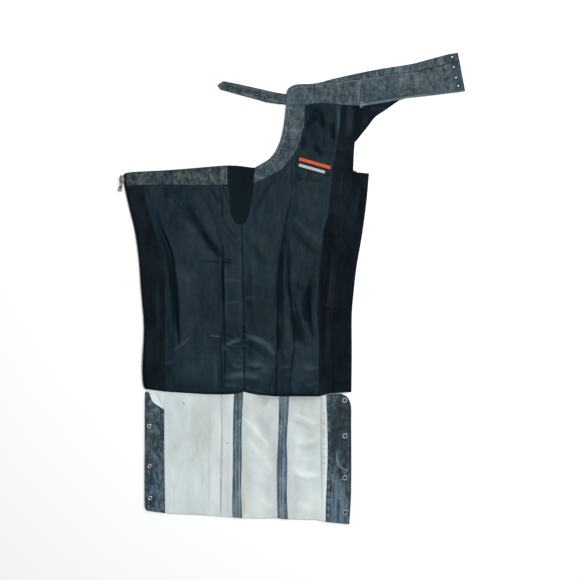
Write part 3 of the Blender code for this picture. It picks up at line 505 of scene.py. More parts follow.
def places_in(text):
    """Points of the plan from text like -4,20 8,36."""
    return [tuple(map(float, place.split(","))) for place in text.split()]


def creases(text):
    """Creases from a row of text each: width, height or strength, lean where it isn't 0, a colon, and the points of
    its line."""
    found = []
    for row in text.strip().split("\n"):
        sizes, line = row.split(":")
        found.append(Crease(places_in(line), *(*map(float, sizes.split()), 0.0)[:3]))
    return found


def crease_height(points, rows):
    total = np.zeros(len(points))
    for crease in rows:
        line = plan(crease.line)
        reach = reaches(line)
        best = np.full(len(points), np.inf)
        signed, share = np.zeros(len(points)), np.zeros(len(points))
        for k, (start, end) in enumerate(zip(line, line[1:])):
            run = end - start
            off = points - start
            t = np.clip(off @ run / (run @ run), 0, 1)
            far = np.linalg.norm(off - t[:, None] * run, axis=1)
            closer = far < best
            best = np.where(closer, far, best)
            signed = np.where(closer, far * np.sign(run[0] * off[:, 1] - run[1] * off[:, 0]), signed)
            share = np.where(closer, (reach[k] + t * (reach[k + 1] - reach[k])) / reach[-1], share)
        wide = crease.width * np.where(signed > 0, 1 + crease.lean, 1 - crease.lean)
        taper = np.power(np.clip(4 * share * (1 - share), 0, 1), 0.4)
        total += crease.height * taper * np.exp(-(signed / wide) ** 2)
    return total


# ---------------------------------------------------------------- shells

OUTLINES, SURFACES = {}, {}
GROW = 0.12  # how far a shell reaches past its solid's outline, so that seams close
EDGE_SPACING = 3.0  # of the points along an outline, at most
RIM_STEP, RIM_CLEAR = 0.9, 0.6  # from the outline to the next row of points, and what counts as too near
ROW_STEP = 0.866  # between rows of an even triangular grid, in its spacings
CLEAR = 0.45  # kept free beside outlines and narrow creases, in spacings
NARROW = 1.5  # a crease under this width, in spacings, has points of its own
CREASE_PITCH = 0.8  # of those points along the crease, in spacings
CREASE_STEPS = (-1.7, -0.8, 0.0, 0.8, 1.7)  # and across it, in its widths
CREASE_CLEAR, CREASE_CELL = 1.5, 0.7  # how near they come to an outline, and to each other
EDGE_TOP, EDGE_FOOT = 0.4, 0.18  # how far the edge is rounded off, in thicknesses
RELAX = 0.6  # share of the way to its neighbours' mean that a smoothing step takes a point
STROKE_GAIN = 1.1
STRIP_SHARE = 0.32  # a piece that fills less of its rectangle is measured as a strip
NARROWEST = 0.0101  # width of a strip's cut, in metres, at least
LINING_THICK = 0.8


def mesh_object(name, points, faces, materials, slot_name, *replaced):
    """A piece of the leg from points in metres."""
    mesh = bpy.data.meshes.new(name)
    mesh.from_pydata([tuple(p) for p in points], [], faces)
    for one in materials:
        mesh.materials.append(one)
    mesh.shade_smooth()
    return placed(mesh, "leg", slot_name, *replaced)


def placed(mesh, body, slot_name, *replaced):
    """The object of a mesh, on its body, with the nodes that it replaces hidden; the slot name is not used."""
    made = bpy.data.objects.new(mesh.name, mesh)
    bpy.context.scene.collection.objects.link(made)
    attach(made, body)
    if replaced:
        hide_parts(*replaced)
    return made


def declare_sheet(loop):
    """Works out the cut of a piece, its own rectangle or a strip's length and width, and does nothing with it."""
    area = abs(loop_area(loop)) * MM * MM
    best = None
    for degree in range(0, 90, 3):
        a = math.radians(degree)
        turned = loop @ np.array([[math.cos(a), -math.sin(a)], [math.sin(a), math.cos(a)]])
        sides = np.ptp(turned, axis=0) * MM
        if best is None or sides.prod() < best.prod():
            best = sides
    width, length = sorted(float(side) for side in best)
    if area < STRIP_SHARE * width * length:
        half = float(np.sum(np.linalg.norm(np.roll(loop, -1, 0) - loop, axis=1))) * MM / 2
        length = (half + math.sqrt(max(half * half - 4 * area, 0))) / 2
        width = max(area / length, NARROWEST)


def beside_lines(shades, spacing):
    """Points along each crease that is too narrow for the grid, and beside it, and the reach that they cover."""
    found, covered = [np.zeros((0, 2))], []
    for crease in shades:
        if crease.width > NARROW * spacing:
            continue
        line = walked(plan(crease.line), CREASE_PITCH * spacing)
        ahead = np.gradient(line, axis=0)
        ahead /= np.linalg.norm(ahead, axis=1)[:, None]
        side = np.stack([-ahead[:, 1], ahead[:, 0]], 1)
        found += [line + side * crease.width * share for share in CREASE_STEPS]
        covered.append((line, CREASE_STEPS[-1] * crease.width + CLEAR * spacing))
    return np.concatenate(found), covered


def inside(points, loops, margin):
    """The points that lie inside the outline by more than a margin."""
    points = points[within(points, loops)]
    return points[to_border(points, loops) > margin]


def plan_grid(loops, spacing, keep, shades):
    """Points and triangles of a shell in the plan: its outlines, a row just inside them, and an even grid that
    follows the narrow strokes."""
    low, high = loops[0].min(0), loops[0].max(0)
    grid = []
    for k, y in enumerate(np.arange(low[1], high[1], spacing * ROW_STEP)):
        xs = np.arange(low[0] + (k % 2) * spacing / 2, high[0], spacing)
        grid.append(np.stack([xs, np.full(len(xs), y)], 1))
    grid = np.concatenate(grid)
    if keep is not None:
        grid = grid[keep(grid)]
    grid = inside(grid, loops, CLEAR * spacing + RIM_STEP)
    extra, covered = beside_lines(shades, spacing)
    for line, reach in covered:
        near = np.all((grid > line.min(0) - reach) & (grid < line.max(0) + reach), axis=1)
        near[near] = np.min(np.linalg.norm(grid[near][:, None] - line[None], axis=2), axis=1) < reach
        grid = grid[~near]
    if len(extra):
        extra = inside(extra, loops, CREASE_CLEAR)
        _, first = np.unique(np.floor(extra / CREASE_CELL), axis=0, return_index=True)
        grid = np.concatenate([grid, extra[first]])
    rims = np.concatenate([inset(loop, -RIM_STEP if k else RIM_STEP) for k, loop in enumerate(loops)])
    rims = inside(rims, loops, RIM_CLEAR)
    edges, first = [], 0
    for loop in loops:
        edges += [(first + k, first + (k + 1) % len(loop)) for k in range(len(loop))]
        first += len(loop)
    result = delaunay_2d_cdt([Vector(p) for p in np.concatenate([*loops, rims, grid])], edges, [], 2, 1e-4)
    flat = np.array([tuple(p) for p in result[0]])
    tris = np.array([t for t in result[2]], np.int64)
    tris = tris[within(flat[tris].mean(axis=1), loops)]
    (ax, ay), (bx, by), (cx, cy) = (flat[tris[:, k]].T for k in range(3))
    turned = (bx - ax) * (cy - ay) - (by - ay) * (cx - ax) < 0
    tris[turned] = tris[turned][:, ::-1]
    return flat, tris


def shell(node, kind, spacing, materials, rests_on, slot_name, relief=None, follow=1.0, smoothing=14, keep=None,
          base=None, shades=(), marks_at=None):
    """A thin closed shell over a CAD wall, on a fine grid of its own. relief adds height from the place in the plan
    and the distance to the edge; follow is the share of it that the lower face takes. shades are strokes of painted
    shade in the hollows and painted highlights on the ridges; the grid follows the narrow ones."""
    points, faces = cad_mesh(node)
    up, down = facing(points, faces, 1), facing(points, faces, -1)
    loops = [refined(loop, min(spacing, EDGE_SPACING)) for loop in border_loops(points, up)]
    OUTLINES[node] = loops[0] = inset(loops[0], -GROW)
    flat, tris = plan_grid(loops, spacing, keep, shades)
    ends = edge_ends(tris)
    open_edges = one_sided(ends)
    border = np.zeros(len(flat), bool)
    border[np.array(open_edges)] = True
    rim = to_border(flat, loops)
    if base is None:
        z0, z1 = (np.array([height(x, y) for x, y in flat]) for height in (height_of(points, down),
                                                                          height_of(points, up)))
        count = np.maximum(np.bincount(ends[:, 0], minlength=len(flat)).astype(float), 1)
        for _ in range(smoothing):
            for z in (z0, z1):
                mean = np.bincount(ends[:, 0], z[ends[:, 1]], minlength=len(flat)) / count
                z[~border] += RELAX * (mean - z)[~border]
    else:
        z0 = base(flat, rim)
        z1 = z0 + LINING_THICK
    extra = np.zeros(len(flat)) if relief is None else relief(flat, rim)
    thickness = z1 - z0
    z0 = z0 + follow * extra
    z1 = z1 + extra
    z1[border] -= EDGE_TOP * thickness[border]
    z0[border] += EDGE_FOOT * thickness[border]
    count = len(flat)
    over_faces = [tuple(int(i) for i in t) for t in tris]
    other_faces = [(f[2] + count, f[1] + count, f[0] + count) for f in over_faces]
    other_faces += [(q, p, p + count, q + count) for p, q in open_edges]
    made = mesh_object(f"{node}_{kind}", np.concatenate([np.column_stack([flat, z]) for z in (z1, z0)]) * MM,
                       over_faces + other_faces, materials, slot_name, node)
    if len(materials) > 1:
        index = np.zeros(len(made.data.polygons), np.int32)
        index[len(over_faces):] = 1
        made.data.polygons.foreach_set("material_index", index)
    shade = np.tanh(STROKE_GAIN * crease_height(flat, shades))
    painted = {"rim": np.tile(rim, 2), "shade": np.concatenate([shade, np.zeros(count)])}
    for key, value in (marks_at(flat) if marks_at else {}).items():
        painted[key] = np.tile(value, 2)
    for key, value in painted.items():
        made.data.attributes.new(key, "FLOAT", "POINT").data.foreach_set("value", value.astype(np.float32))
    SURFACES[node] = height_of(np.column_stack([flat, z1]), tris)
    declare_sheet(loops[0])


BARE_BELOW, LINED_STEP = -240, 7.0  # height in the plan where the lining begins, and the coarse spacing under it


def fine_where_bare(grid):
    """Keeps the whole grid where the leather shows, and few of its points under the lining."""
    step = grid / LINED_STEP
    lattice = np.floor(step).sum(axis=1) % 2 == 0
    return (grid[:, 1] < BARE_BELOW) | (lattice & (np.abs(step[:, 0] - np.round(step[:, 0])) < 0.28))


# ---------------------------------------------------------------- creases, stains and heights of the pieces

# Folds: width, height, lean where it isn't 0, the line. Lean is above 0 where the cloth falls steeply on the right.
LINING_FOLDS = creases("""
9 4.6 -.5: -320,152 -293,83 -281,-25 -278,-143
13 -4.6 -.3: -299,243 -252,182 -215,120 -177,75
16 2 -.3: -262,246 -222,182 -190,118
12 -3 .2: -297,95 -262,62 -235,42
7 3 -.5: -165,103 -164,-40 -163,-150 -162,-250
12 1.6 .2: -235,-60 -231,-130 -226,-195
8 3 -.3: -168,-140 -148,-127 -121,-123 -98,-128 -72,-150 -46,-165
7 5 -.55: -12,150 -17,90 -18,20 -16,-60 -14,-130
8 3.6 -.4: 8,96 8,5 20,-48 34,-100 40,-140
6 4 -.5: 58,40 52,-12 52,-50 62,-100 66,-128
7 2.2 -.3: 14,-142 7,-185 -1,-262
14 -4.2 -.2: -3,159 35,128 74,93
15 2.6 -.2: 7,207 42,180 77,150
10 2.2 .3: 52,436 48,405 58,376
10 2.2 -.3: 78,446 88,412 92,380
9 2: 110,448 106,405 102,365
12 1.4 .2: -282,206 -290,180 -296,160
14 -1.8 -.2: -112,118 -88,84 -70,52
6 1.2 .2: -205,-172 -228,-168 -258,-172
6 1.5 .2: -40,-122 -55,-108 -72,-104
9 1.3 .2: -112,-222 -82,-230 -50,-236
8 1.3 .2: -164,-216 -148,-206 -128,-202
6 .9 .2: -120,-42 -95,-36 -62,-34
6 .8 .2: -120,36 -96,34 -70,38
5 1.4 .2: -188,-148 -204,-142 -218,-146
7 1 .2: 62,262 42,252 26,250
8 1.3 .3: 92,352 88,318 86,296
8 1.2 .3: 40,356 58,344 80,338
""")
# Sharp creases of the lining, where it has been folded in on itself
LINING_CREASES = creases("""
2.6 -3.2 .2: -331,160 -318,128 -299,83 -290,20 -287,-25 -284,-143
8 -2: -340,150 -318,104 -306,60 -300,0 -296,-90
2.4 -2.9: -173,108 -172,40 -170,-60 -169,-150 -168,-258
5 -3.4 .4: -16,182 -21,120 -31,43 -33,-58 -34,-150
2.2 -2.4: -34,-150 -35,-190 -38,-266
3 -2.4: -4,205 -12,168 -20,130
2.6 -2.8: -10,122 -8,66 -10,5 10,-58 25,-110 31,-146
5 -1.6: 6,60 12,0 22,-50
3 -3.2 .2: 54,46 50,12 42,-34 45,-80 57,-124
6 -1.8: 36,4 38,-40 44,-84
2.4 -2.6: 7,-144 -2,-186 -9,-262
2.2 -1.8: -230,68 -195,66 -150,62
2.6 -2.2: -170,72 -150,68 -142,60
3.4 -1.2: -236,246 -220,222 -196,176 -180,110
3.4 -2.2 .2: -212,256 -198,232 -186,210
2.4 -1.8: -184,258 -178,224 -173,190 -172,150
2.4 -1.5: -170,250 -166,214 -164,180
2.4 -1.8: -160,152 -150,136 -138,124
2.4 -1.2: -158,130 -148,112 -140,104
2.6 -1.9: -52,268 -66,244 -82,212 -100,184
2.2 -1: -90,262 -98,226 -106,186
2.4 -1.4: -170,-118 -152,-124 -140,-134
2.6 -1.6: -160,-150 -144,-142 -126,-140
2.8 -1.7: -118,-142 -98,-148 -78,-164 -62,-176
2.6 -1.7: 58,94 66,82 72,70
2.8 -1.3: 30,262 42,246 66,240 84,242
5 -1.4: 34,410 46,396 60,350 72,330
6 -1.8: 66,440 74,420 78,384 74,350
3.4 -1.4: 96,440 100,400 98,370
4 -1.2: 22,330 36,322 70,330 96,350
""")
STRIP_FOLDS = creases("""
6 -3 .2: -372,128 -352,110 -333,100
9 1.5: -352,196 -362,170 -372,150
6 -1.8: -325,160 -308,106 -300,82
9 1.05 .2: -345,62 -350,-30 -346,-120
8 1.05 .2: -330,-180 -342,-210 -340,-246
5 2.55 .2: 118,346 136,342 152,348
4 2.25 -.2: 116,334 134,336 153,330
7 1.35: 116,436 122,396 112,352
5 1.2: 108,232 102,180 92,130
5 -2.4 .2: 82,141 98,132 122,138
4 -2.1 .2: 76,-44 84,-52 98,-48
8 1.2 .2: 82,-10 88,-90 84,-180
6 1.05: 100,60 92,20 90,-20
""")
FLAP_FOLDS = creases("""
6 1.05 .2: 160,262 164,216 156,172
6 1.2 .2: 132,122 148,100 146,66
4 -1.5 .2: 104,-52 124,-58 148,-50
5 1.35 .2: 104,-40 120,-38 150,-42
7 .9 .2: 122,-20 128,-110 126,-210
6 .9 .2: 108,-232 128,-240 146,-236
""")
HIP_FOLDS = creases("""
7 1.5 .2: 182,446 192,418 178,392
6 1.35 .2: 196,452 214,444 232,452
6 -1.05 .2: 170,392 184,400 198,416
""")
FACING_FOLDS = creases("""
6 -1.1 .3: 32,508 42,492 44,468
6 .9 .2: 56,510 62,492 74,478
6 .9 -.2: 78,498 92,486 96,468
6 .9 .3: 104,512 112,494 108,474
5 1 .3: 128,512 138,494 132,474
4 -1.2 .3: 146,514 150,496 152,470
8 .9 .2: 192,512 206,496 204,478
8 .8 .2: 226,524 240,508 246,492
8 .8 .2: 262,528 272,512 268,496
7 .7 .2: 300,528 312,522 330,534
8 .7 .2: 344,540 356,522 368,512
4 .7 .2: -8,440 8,436 30,440
4 -.7 .2: -16,408 4,398 26,400
4 .7 .2: -14,398 6,390 24,392
5 -.7 .2: -22,372 -4,366 12,358
5 .7 .2: -58,322 -46,306 -38,290
4 -.8 .2: -84,306 -80,290 -84,272
4 .6 .2: -72,312 -66,296 -60,284
5 1 .2: -186,302 -196,286 -190,264
4 1 -.2: -172,304 -178,284 -172,264
4 .8 .2: -216,300 -228,292 -258,290
7 .7 .2: -270,292 -262,276 -280,264
7 .7 .2: -330,288 -322,274 -340,266
6 .7 .2: -388,286 -378,274 -390,262
""")
TURNOVER_FOLDS = creases("""
3 1.1 .2: 150,534 156,526 158,521
3.5 1.3 .2: 176,540 184,530 186,524
3.5 -1.1 .2: 196,543 202,534 210,528
3.5 1.2 .2: 214,547 222,538 224,531
4 -.9 .2: 240,552 246,543 250,535
5 .8 .2: 270,557 282,548 288,540
5 .7 .2: 322,566 334,556 340,550
""")
SUEDE_FOLDS = creases("""
2.4 -.5: -205,-300 -206,-420 -208,-560
2.4 -.6: -176,-292 -175,-420 -177,-560
4 .4: -164,-300 -166,-380 -165,-450
3 -.7: 74,-290 75,-400 77,-575
9 1.1 .3: -118,-325 -92,-372 -62,-428 -44,-462
9 .9 .3: 6,-302 40,-316 70,-312
10 1.1 .3: 10,-366 44,-382 74,-378
9 1.1 .3: 6,-462 40,-474 76,-466
12 .9 .2: -300,-382 -262,-400 -238,-440
11 .7 .2: -92,-470 -66,-500 -48,-540
9 .6 .2: 16,-520 44,-532 70,-524
""")
BLUE_FOLDS = creases("""
4 .8 .2: -360,-300 -342,-306 -322,-300
4 .8 .2: -364,-318 -350,-326 -324,-322
5 .9 .2: -362,-384 -345,-398 -324,-392
4 .9 .2: -360,-428 -342,-420 -326,-426
5 .7 .2: -362,-470 -348,-478 -330,-470
4 .6 .2: -348,-450 -346,-490 -348,-520
5 .9 .3: 104,-322 112,-352 134,-344 146,-330
5 1.1 .3: 106,-396 112,-430 138,-442 146,-432
4 .8 .2: 104,-300 124,-298 146,-306
4 1 .2: 108,-480 112,-520 108,-572
4 .9 -.2: 122,-478 124,-520 120,-574
3 -.8 .2: 92,-500 96,-516 92,-530
3 .9 .2: 92,-462 98,-470 92,-486
3 .8 .2: 92,-360 98,-372 94,-388
""")
TAPE_RIDGES = creases("""
1.3 -.5: -139,-262 -141,-350 -141,-440 -142,-572
1.5 .6: -134,-260 -136,-350 -137,-440 -136,-572
1.3 -.5: -128,-260 -130,-350 -131,-440 -129,-572
1.3 -.5: -23,-270 -26,-373 -29,-440 -29,-575
1.5 .6: -18,-270 -21,-373 -24,-440 -23,-576
1.3 -.5: -12,-270 -16,-373 -17,-440 -16,-576
""")
STRAP_FOLDS = creases("""
4 .5 .2: -140,512 -136,500 -142,488
4 .5 .2: -96,502 -94,488 -98,476
4 .5 .2: -50,492 -52,480 -48,468
""")
# Small cross puckers of the lining beside its middle seam and in the crotch, and of the bare leather's front edge
SEAM_PUCKERS = [Crease([(-122 + side * 4, y), (-122 + side * 14, y + side * lift)], 2.2, 0.9, 0.0)
                for y, lift in ((-108, 3), (-114, -2), (-121, 2), (-128, -3), (-136, 3), (-147, -2), (-158, 2),
                                (-170, -3), (-183, 2), (-22, 2), (-60, -2), (52, 2), (88, -2))
                for side in (-1, 1)]
SUEDE_PUCKERS = [Crease([(86, y), (72, y + lift)], 2.4, -0.7, 0.0)
                 for y, lift in ((-342, 4), (-358, -3), (-372, 3), (-388, -2), (-404, 4), (-421, -3), (-440, 3))]
# Marks on the flesh side: place, radius along x and y, strength
STAINS = (((-119, -543), (5, 26), 1.0), ((-122, -500), (4, 30), 0.5), ((-250, -380), (40, 60), 0.12))
SPOTS = (((-270, -287), (3.2, 3.2), 0.9), ((-160, -387), (3, 3), 0.9), ((-245, -430), (2.4, 2.4), 0.7),
         ((-208, -428), (2.2, 2.2), 0.6), ((-246, -366), (2, 2), 0.6), ((28, -508), (2.2, 2.2), 0.5),
         ((-45, -452), (2.5, 4), 0.5), ((-44, -482), (2.2, 3), 0.45), ((-236, -402), (1.6, 9), 0.4))

# Shading strokes: width, strength (below 0 painted shade in a hollow, seam or hole, above 0 a painted highlight or
# sheen on a ridge), lean where it isn't 0, the line
LINING_SHADES = creases("""
3.2 -1 .2: -329,159 -320,144 -307,114 -299,84 -297,58 -294,17 -290,-28 -286,-67 -283,-109 -281,-142
11 -.6: -336,148 -326,126 -313,100 -304,60 -299,10 -295,-40 -289,-105
4.5 -.3: -327,101 -314,79 -305,49 -301,6
3 -.5: -303,234 -288,215 -272,199
14 -.55: -276,205 -249,174 -230,152 -215,129 -200,107 -185,88 -174,72
7 -.5: -222,142 -206,116 -190,94 -179,79
13 -.42: -292,82 -271,64 -249,46
2.4 -.5: -233,68 -200,67 -171,65 -150,64
6 -.45: -172,69 -160,67 -147,63
4.6 -.7: -173,62 -174,40 -171,-3 -171,-44
2.2 -.6: -177,170 -173,86 -172,40 -171,-92 -173,-126 -178,-143 -175,-179 -173,-266
1.9 -.4: -125,156 -123,60 -121,-32 -119,-140 -118,-200 -119,-257
1.9 -.4: -125,158 -124,120 -123,88
2.4 -.4: -122,18 -121,-8 -121,-30
2.2 -.5: -120,-78 -119,-105 -119,-132
2.2 -.5: -118,-150 -118,-180 -118,-215
15 -.42: -108,118 -88,89 -60,56
3 -.7: -4,219 -14,172 -18,142 -22,112
7.5 -.7: -19,134 -25,90 -30,44 -32,2 -31,-25 -31,-60
3.5 -.75: -32,-50 -35,-81 -34,-137 -36,-168
7 -.5: -30,-95 -30,-137 -33,-160
2.2 -.85: -36,-158 -37,-193 -39,-232 -40,-266
2.2 -.65: -7,165 -12,140 -11,86 -9,44 -7,3 -1,-40 5,-80 6,-123 7,-151 3,-179 0,-207 -4,-235 -8,-266
4 -.6: -8,10 -3,-30 1,-64
9 -.75: 0,-56 5,-90 9,-112 13,-134
6 -.4: 5,-64 19,-109 27,-140
5.2 -.9: 49,40 46,14 43,-20 42,-53 45,-87 52,-115 57,-130
9 -.75: 36,4 35,-30 33,-82
2.2 -.5: 60,-20 66,-81 67,-134
13 -.6: -3,157 20,130 45,102 68,80
13 -.35: 22,182 40,168 60,153
2.2 -.5: 41,62 42,43
2.2 -.55: 47,44 57,56 67,68
3.4 -.3: 14,20 18,-4
3.4 -.3: 25,20 27,-4
3 -.55: -202,252 -187,232 -176,209
2.4 -.5: -185,256 -176,236 -172,211 -173,176
4 -.5: -170,256 -161,226 -155,201
2.4 -.6: -162,156 -150,137 -139,120
2.4 -.45: -159,132 -148,112 -140,102
8 -.45: -252,257 -243,250 -235,243
8 -.5: -315,242 -306,223
14 -.35: -322,250 -300,246 -276,238
7 -.45: -52,270 -66,246 -82,214 -99,186
5 -.5: 36,404 52,417 66,429
7.5 -.55: 72,443 77,420 82,400
8 -.6: 97,416 104,392 111,365
5.5 -.6: 55,359 67,344 80,330
7 -.55: 28,383 29,362 27,343
9 -.4: 62,454 58,438 54,420
5.5 -.5: 16,274 45,269 86,272
4 -.5: 84,288 86,276
3 -.35: 74,212 81,194
6 -.45: 12,304 15,284 24,268
8 .3: -190,-150 -190,-205 -191,-262
2.6 .6: -206,-117 -192,-119 -176,-120
7 .6: -172,-155 -160,-142 -149,-134 -125,-126
7 .6: -117,-122 -100,-122 -86,-126 -60,-140 -40,-168
4 -.4: -114,-141 -98,-150 -84,-162
9 .5: -171,-222 -130,-215 -80,-222
4 .35: -108,-250 -120,-249 -134,-255
3.6 .34: -33,-202 -16,-195 0,-189
4 .28: 33,-244 50,-240 65,-234
5 .45: -296,-156 -277,-142 -253,-121
3 .4: -316,-187 -296,-184
10 .3: 6,178 35,143 78,110
22 .12: -250,40 -240,-60
2.6 .5: -15,112 -17,60 -20,-10
2.6 .35: -17,-30 -14,-70 -13,-110
3 .3: 14,-22 21,-55 34,-100
2.6 .4: 55,-16 57,-60 62,-104
6 .6: 115,466 118,410 113,356
4 -.45: 108,452 108,410 104,370
4 -.7: -335,-252 -317,-254 -255,-258 -201,-261 -146,-260 -121,-254 -91,-261 -40,-266 37,-266 84,-266
7 -.4: -30,-262 20,-262 90,-262
7 .35: -170,-241 -146,-243 -130,-238
6 .3: -112,-252 -95,-256 -76,-257
9 -.35: 45,20 47,-30 52,-90
16 -.3: -22,100 -26,30 -28,-60 -26,-150
15 -.5 .2: 8,20 12,-30 20,-80 32,-150
10 -.4: -290,60 -286,-30 -282,-140
3 .3: 75,386 82,354
3 .35: -350,255 -350,230
4 .3: -165,-37 -146,-35 -125,-31
4 .35: -119,-25 -86,-22
4 .25: -165,22 -125,19
11 .16: -94,-176 -70,-196 -60,-214
46 -.42: 66,500 62,420 58,318
26 .26: -165,-160 -110,-190 -45,-205
24 .2: -296,-200 -250,-205 -200,-200
22 .24: 6,-200 64,-205
30 -.2: -60,20 -58,-60
20 -.22: -230,230 -160,160
5 .3: -276,178 -240,140 -215,104
6 .25: -300,58 -280,36 -256,18
3 .4: -306,88 -298,44 -292,-10 -288,-60
3 .35: -165,60 -164,0 -164,-80
2.6 -.4: -165,-140 -156,-148 -146,-146
2.6 -.4: -150,-196 -136,-204 -124,-202
3.2 .3: -150,-188 -136,-196 -122,-194
3.6 .26: -112,-186 -92,-192 -74,-188
3 -.35: -112,-196 -92,-202 -74,-198
3 .35: -20,-150 -14,-164 -6,-172
3 -.4: -26,-214 -14,-206 2,-202
3.4 .26: 34,-196 48,-200 64,-196
2.6 -.35: 32,-206 48,-211 62,-207
3.4 .2: 20,-222 30,-230 36,-240
""")
CLOTH_SHADES = creases("""
30 -.44: 88,190 86,60 84,-60 86,-290
4 -.5: 114,250 100,150 91,40 86,-60
5 -.45: 78,60 76,-60 76,-180
4 .4: 106,90 98,20 94,-40
5 .35: 92,-90 90,-160 90,-220
26 -.3: 146,150 134,40 126,-60 124,-290
2.4 -.8: -373,125 -353,110 -336,99 -325,91
2.4 -.4: -371,106 -348,83
2.2 -.5: -399,240 -394,208 -389,175 -376,120 -370,60 -364,-5 -359,-100
6 -.4: -366,220 -355,187 -342,158 -332,136
12 .25: -384,215 -372,178 -360,150
14 .2: -345,20 -340,-60
3 -.6: 113,341 130,339 148,341
2.4 -.5: 118,330 140,327
3.5 -.7: 84,142 97,134 109,130 123,132
4 -.6: 86,156 86,140 88,126
3 -.5: 104,122 104,98
2.2 -.5: 117,236 115,170
2.2 -.7: 151,270 143,224 133,170 126,130
3 -.6: 73,-44 84,-52 100,-49
3 .4: 74,-34 86,-41 98,-40
11 .55: 145,470 146,420 141,376
5 -.6: 172,452 165,410 157,375
3 .35: 128,300 124,262 118,226
9 .25: 96,210 92,176
2.2 -.4: 92,60 84,0 83,-60 84,-150
5 .25: -334,40 -333,-80 -334,-200
4 -.4: -350,60 -352,-20 -349,-110
2.2 -.4: 176,274 172,206 163,132 150,62 141,-8 137,-70 137,-160 136,-255
3 -.6: 102,-50 124,-58 150,-50
3 .4: 104,-42 124,-47 148,-41
4 -.4: 131,124 148,100 146,64
9 .3: 168,262 163,216 156,176
6 .25: 124,-80 124,-170
3 -.4: 106,-230 128,-238 148,-234
3.4 .4: 196,455 214,447 236,455
5 .35: 190,434 183,408
4 -.5: 180,452 174,430 172,404
""")
FACING_SHADES = creases("""
3 .8: -204,288 -197,274 -190,261
3 .6: -171,300 -173,276 -174,260
3 -.6: -181,296 -180,278 -183,260
3 -.6: -210,292 -207,262
5 .4: -228,290 -246,276
5 -.4: -270,290 -276,268
6 .35: -296,286 -310,272
5 -.35: -352,284 -346,268
5 .4: -384,276 -372,266
14 .3: -250,276 -150,282
2.4 -.45: -13,443 8,442 30,444
4 .4: -12,392 10,395 26,391
5 -.5: -22,356 0,350 18,352
8 .4: 4,438 6,400 2,372
4 .35: -60,322 -44,304 -38,286
4 -.4: -84,302 -78,284
3.5 -.5: 154,520 153,508 155,494
3.5 -.4: 113,512 112,500 115,486
4 .4: 137,514 136,500 138,484
5 .35: 78,470 84,488 87,504
4 .4: 97,468 100,484 96,500
4 -.4: 126,507 123,490 128,472
3.5 -.45: 28,504 38,486 36,466
5 .3: 6,496 2,478 8,462
4.5 -.35: 60,506 56,490 62,474
3 .55: 160,518 160,490 159,460
2.4 .9: 167,520 168,490 167,458
2.2 -.9: 173,518 173,490 172,464
3 -.6: 180,518 181,506 184,492
3.5 .45: 190,518 191,502 193,484
3 -.45: 207,520 207,506 204,492
4 .4: 222,522 224,508 221,490
3.4 -.4: 240,524 238,506 246,488
5 .35: 264,526 271,507 262,490
4 -.3: 292,530 286,512 296,494
6 .3: 322,538 310,518 318,500
5 -.35: 352,544 344,524 356,504
2 1: 175,461 206,465 240,471 270,475 300,480 344,486
2 -1: 180,466 206,470 240,476 270,480 296,484
10 -.5: 396,580 408,540 420,480
9 -.6: 414,590 426,540 440,480
12 .3: 300,510 360,516 392,522
2.2 .6: 417,570 422,545 430,506
2.2 -.9: 184,526 240,534 297,541 349,551 412,568
""")
TURNOVER_SHADES = creases("""
2.2 -.9: 191,528 194,543
2.2 -.9: 199,529 202,545
2.4 -.9: 207,530 211,547
2.2 -.8: 217,531 221,549
2.2 -.7: 226,533 229,550
2.2 .7: 195,529 198,543
2.2 .7: 203,530 206,545
2.2 .7: 212,531 216,547
2.6 .5: 238,536 241,552
2.6 -.5: 247,537 250,553
3 .5: 257,538 262,556
3 -.4: 284,541 290,560
4 .4: 318,548 326,568
3 -.5: 118,520 140,526 164,531
4 -.4: 352,556 362,576
9 -.6: 388,560 400,592
8 -.5: 410,562 418,600
""")
BARE_SHADES = creases("""
2 -.85: -175,-258 -174,-380 -176,-440 -177,-572
2 -.5: -177,-470 -177,-520 -179,-568
2 -.35: -206,-266 -206,-400 -208,-570
2 -.25: -223,-380 -224,-450 -223,-566
2 -.3: -293,-478 -293,-566
11 -.22: -260,-360 -278,-386 -296,-408
2 -.8: -341,-256 -330,-277 -321,-294 -317,-306
8 .9: -350,-262 -339,-282 -322,-300
6 .7: -119,-323 -93,-349 -72,-375 -53,-399
15 -.3: -88,-318 -66,-350 -48,-384
9 .6: -110,-376 -76,-414 -52,-448 -47,-466
10 -.25: -84,-488 -66,-494 -52,-502
8 .6: 0,-309 27,-321 54,-335 70,-334
9 -.28: 2,-328 30,-342 56,-354
8 .5: 0,-370 34,-384 68,-379
9 -.28: 4,-391 40,-399 70,-391
9 .6: -4,-442 24,-465 70,-468
9 -.32: 4,-468 30,-482 46,-487 70,-478
11 .4: 14,-536 54,-550
2 -.8: 74,-266 74,-400 77,-579
3 .8: 82,-268 86,-350 86,-445 82,-541 80,-580
3 .5: -150,-270 -151,-400 -152,-570
3 .4: -312,-310 -312,-420 -310,-560
9 -.25: -60,-276 -70,-292
16 -.2: -246,-290 -240,-420
5.5 -.55: -90,-266 -60,-273 -20,-274 40,-274 90,-272
4 -.3: -320,-258 -255,-266 -201,-269 -150,-268
13 -.2: -100,-272 -40,-284 30,-284 90,-282
32 .42: -80,-430 -78,-740
32 .36: 36,-450 36,-740
30 -.24: -82,-230 -82,-350
30 -.2: 36,-230 36,-340
6 -.3: 82,-270 82,-470
9 .4: -80,-520 -46,-548
8 .35: 10,-420 44,-428 66,-420
""")
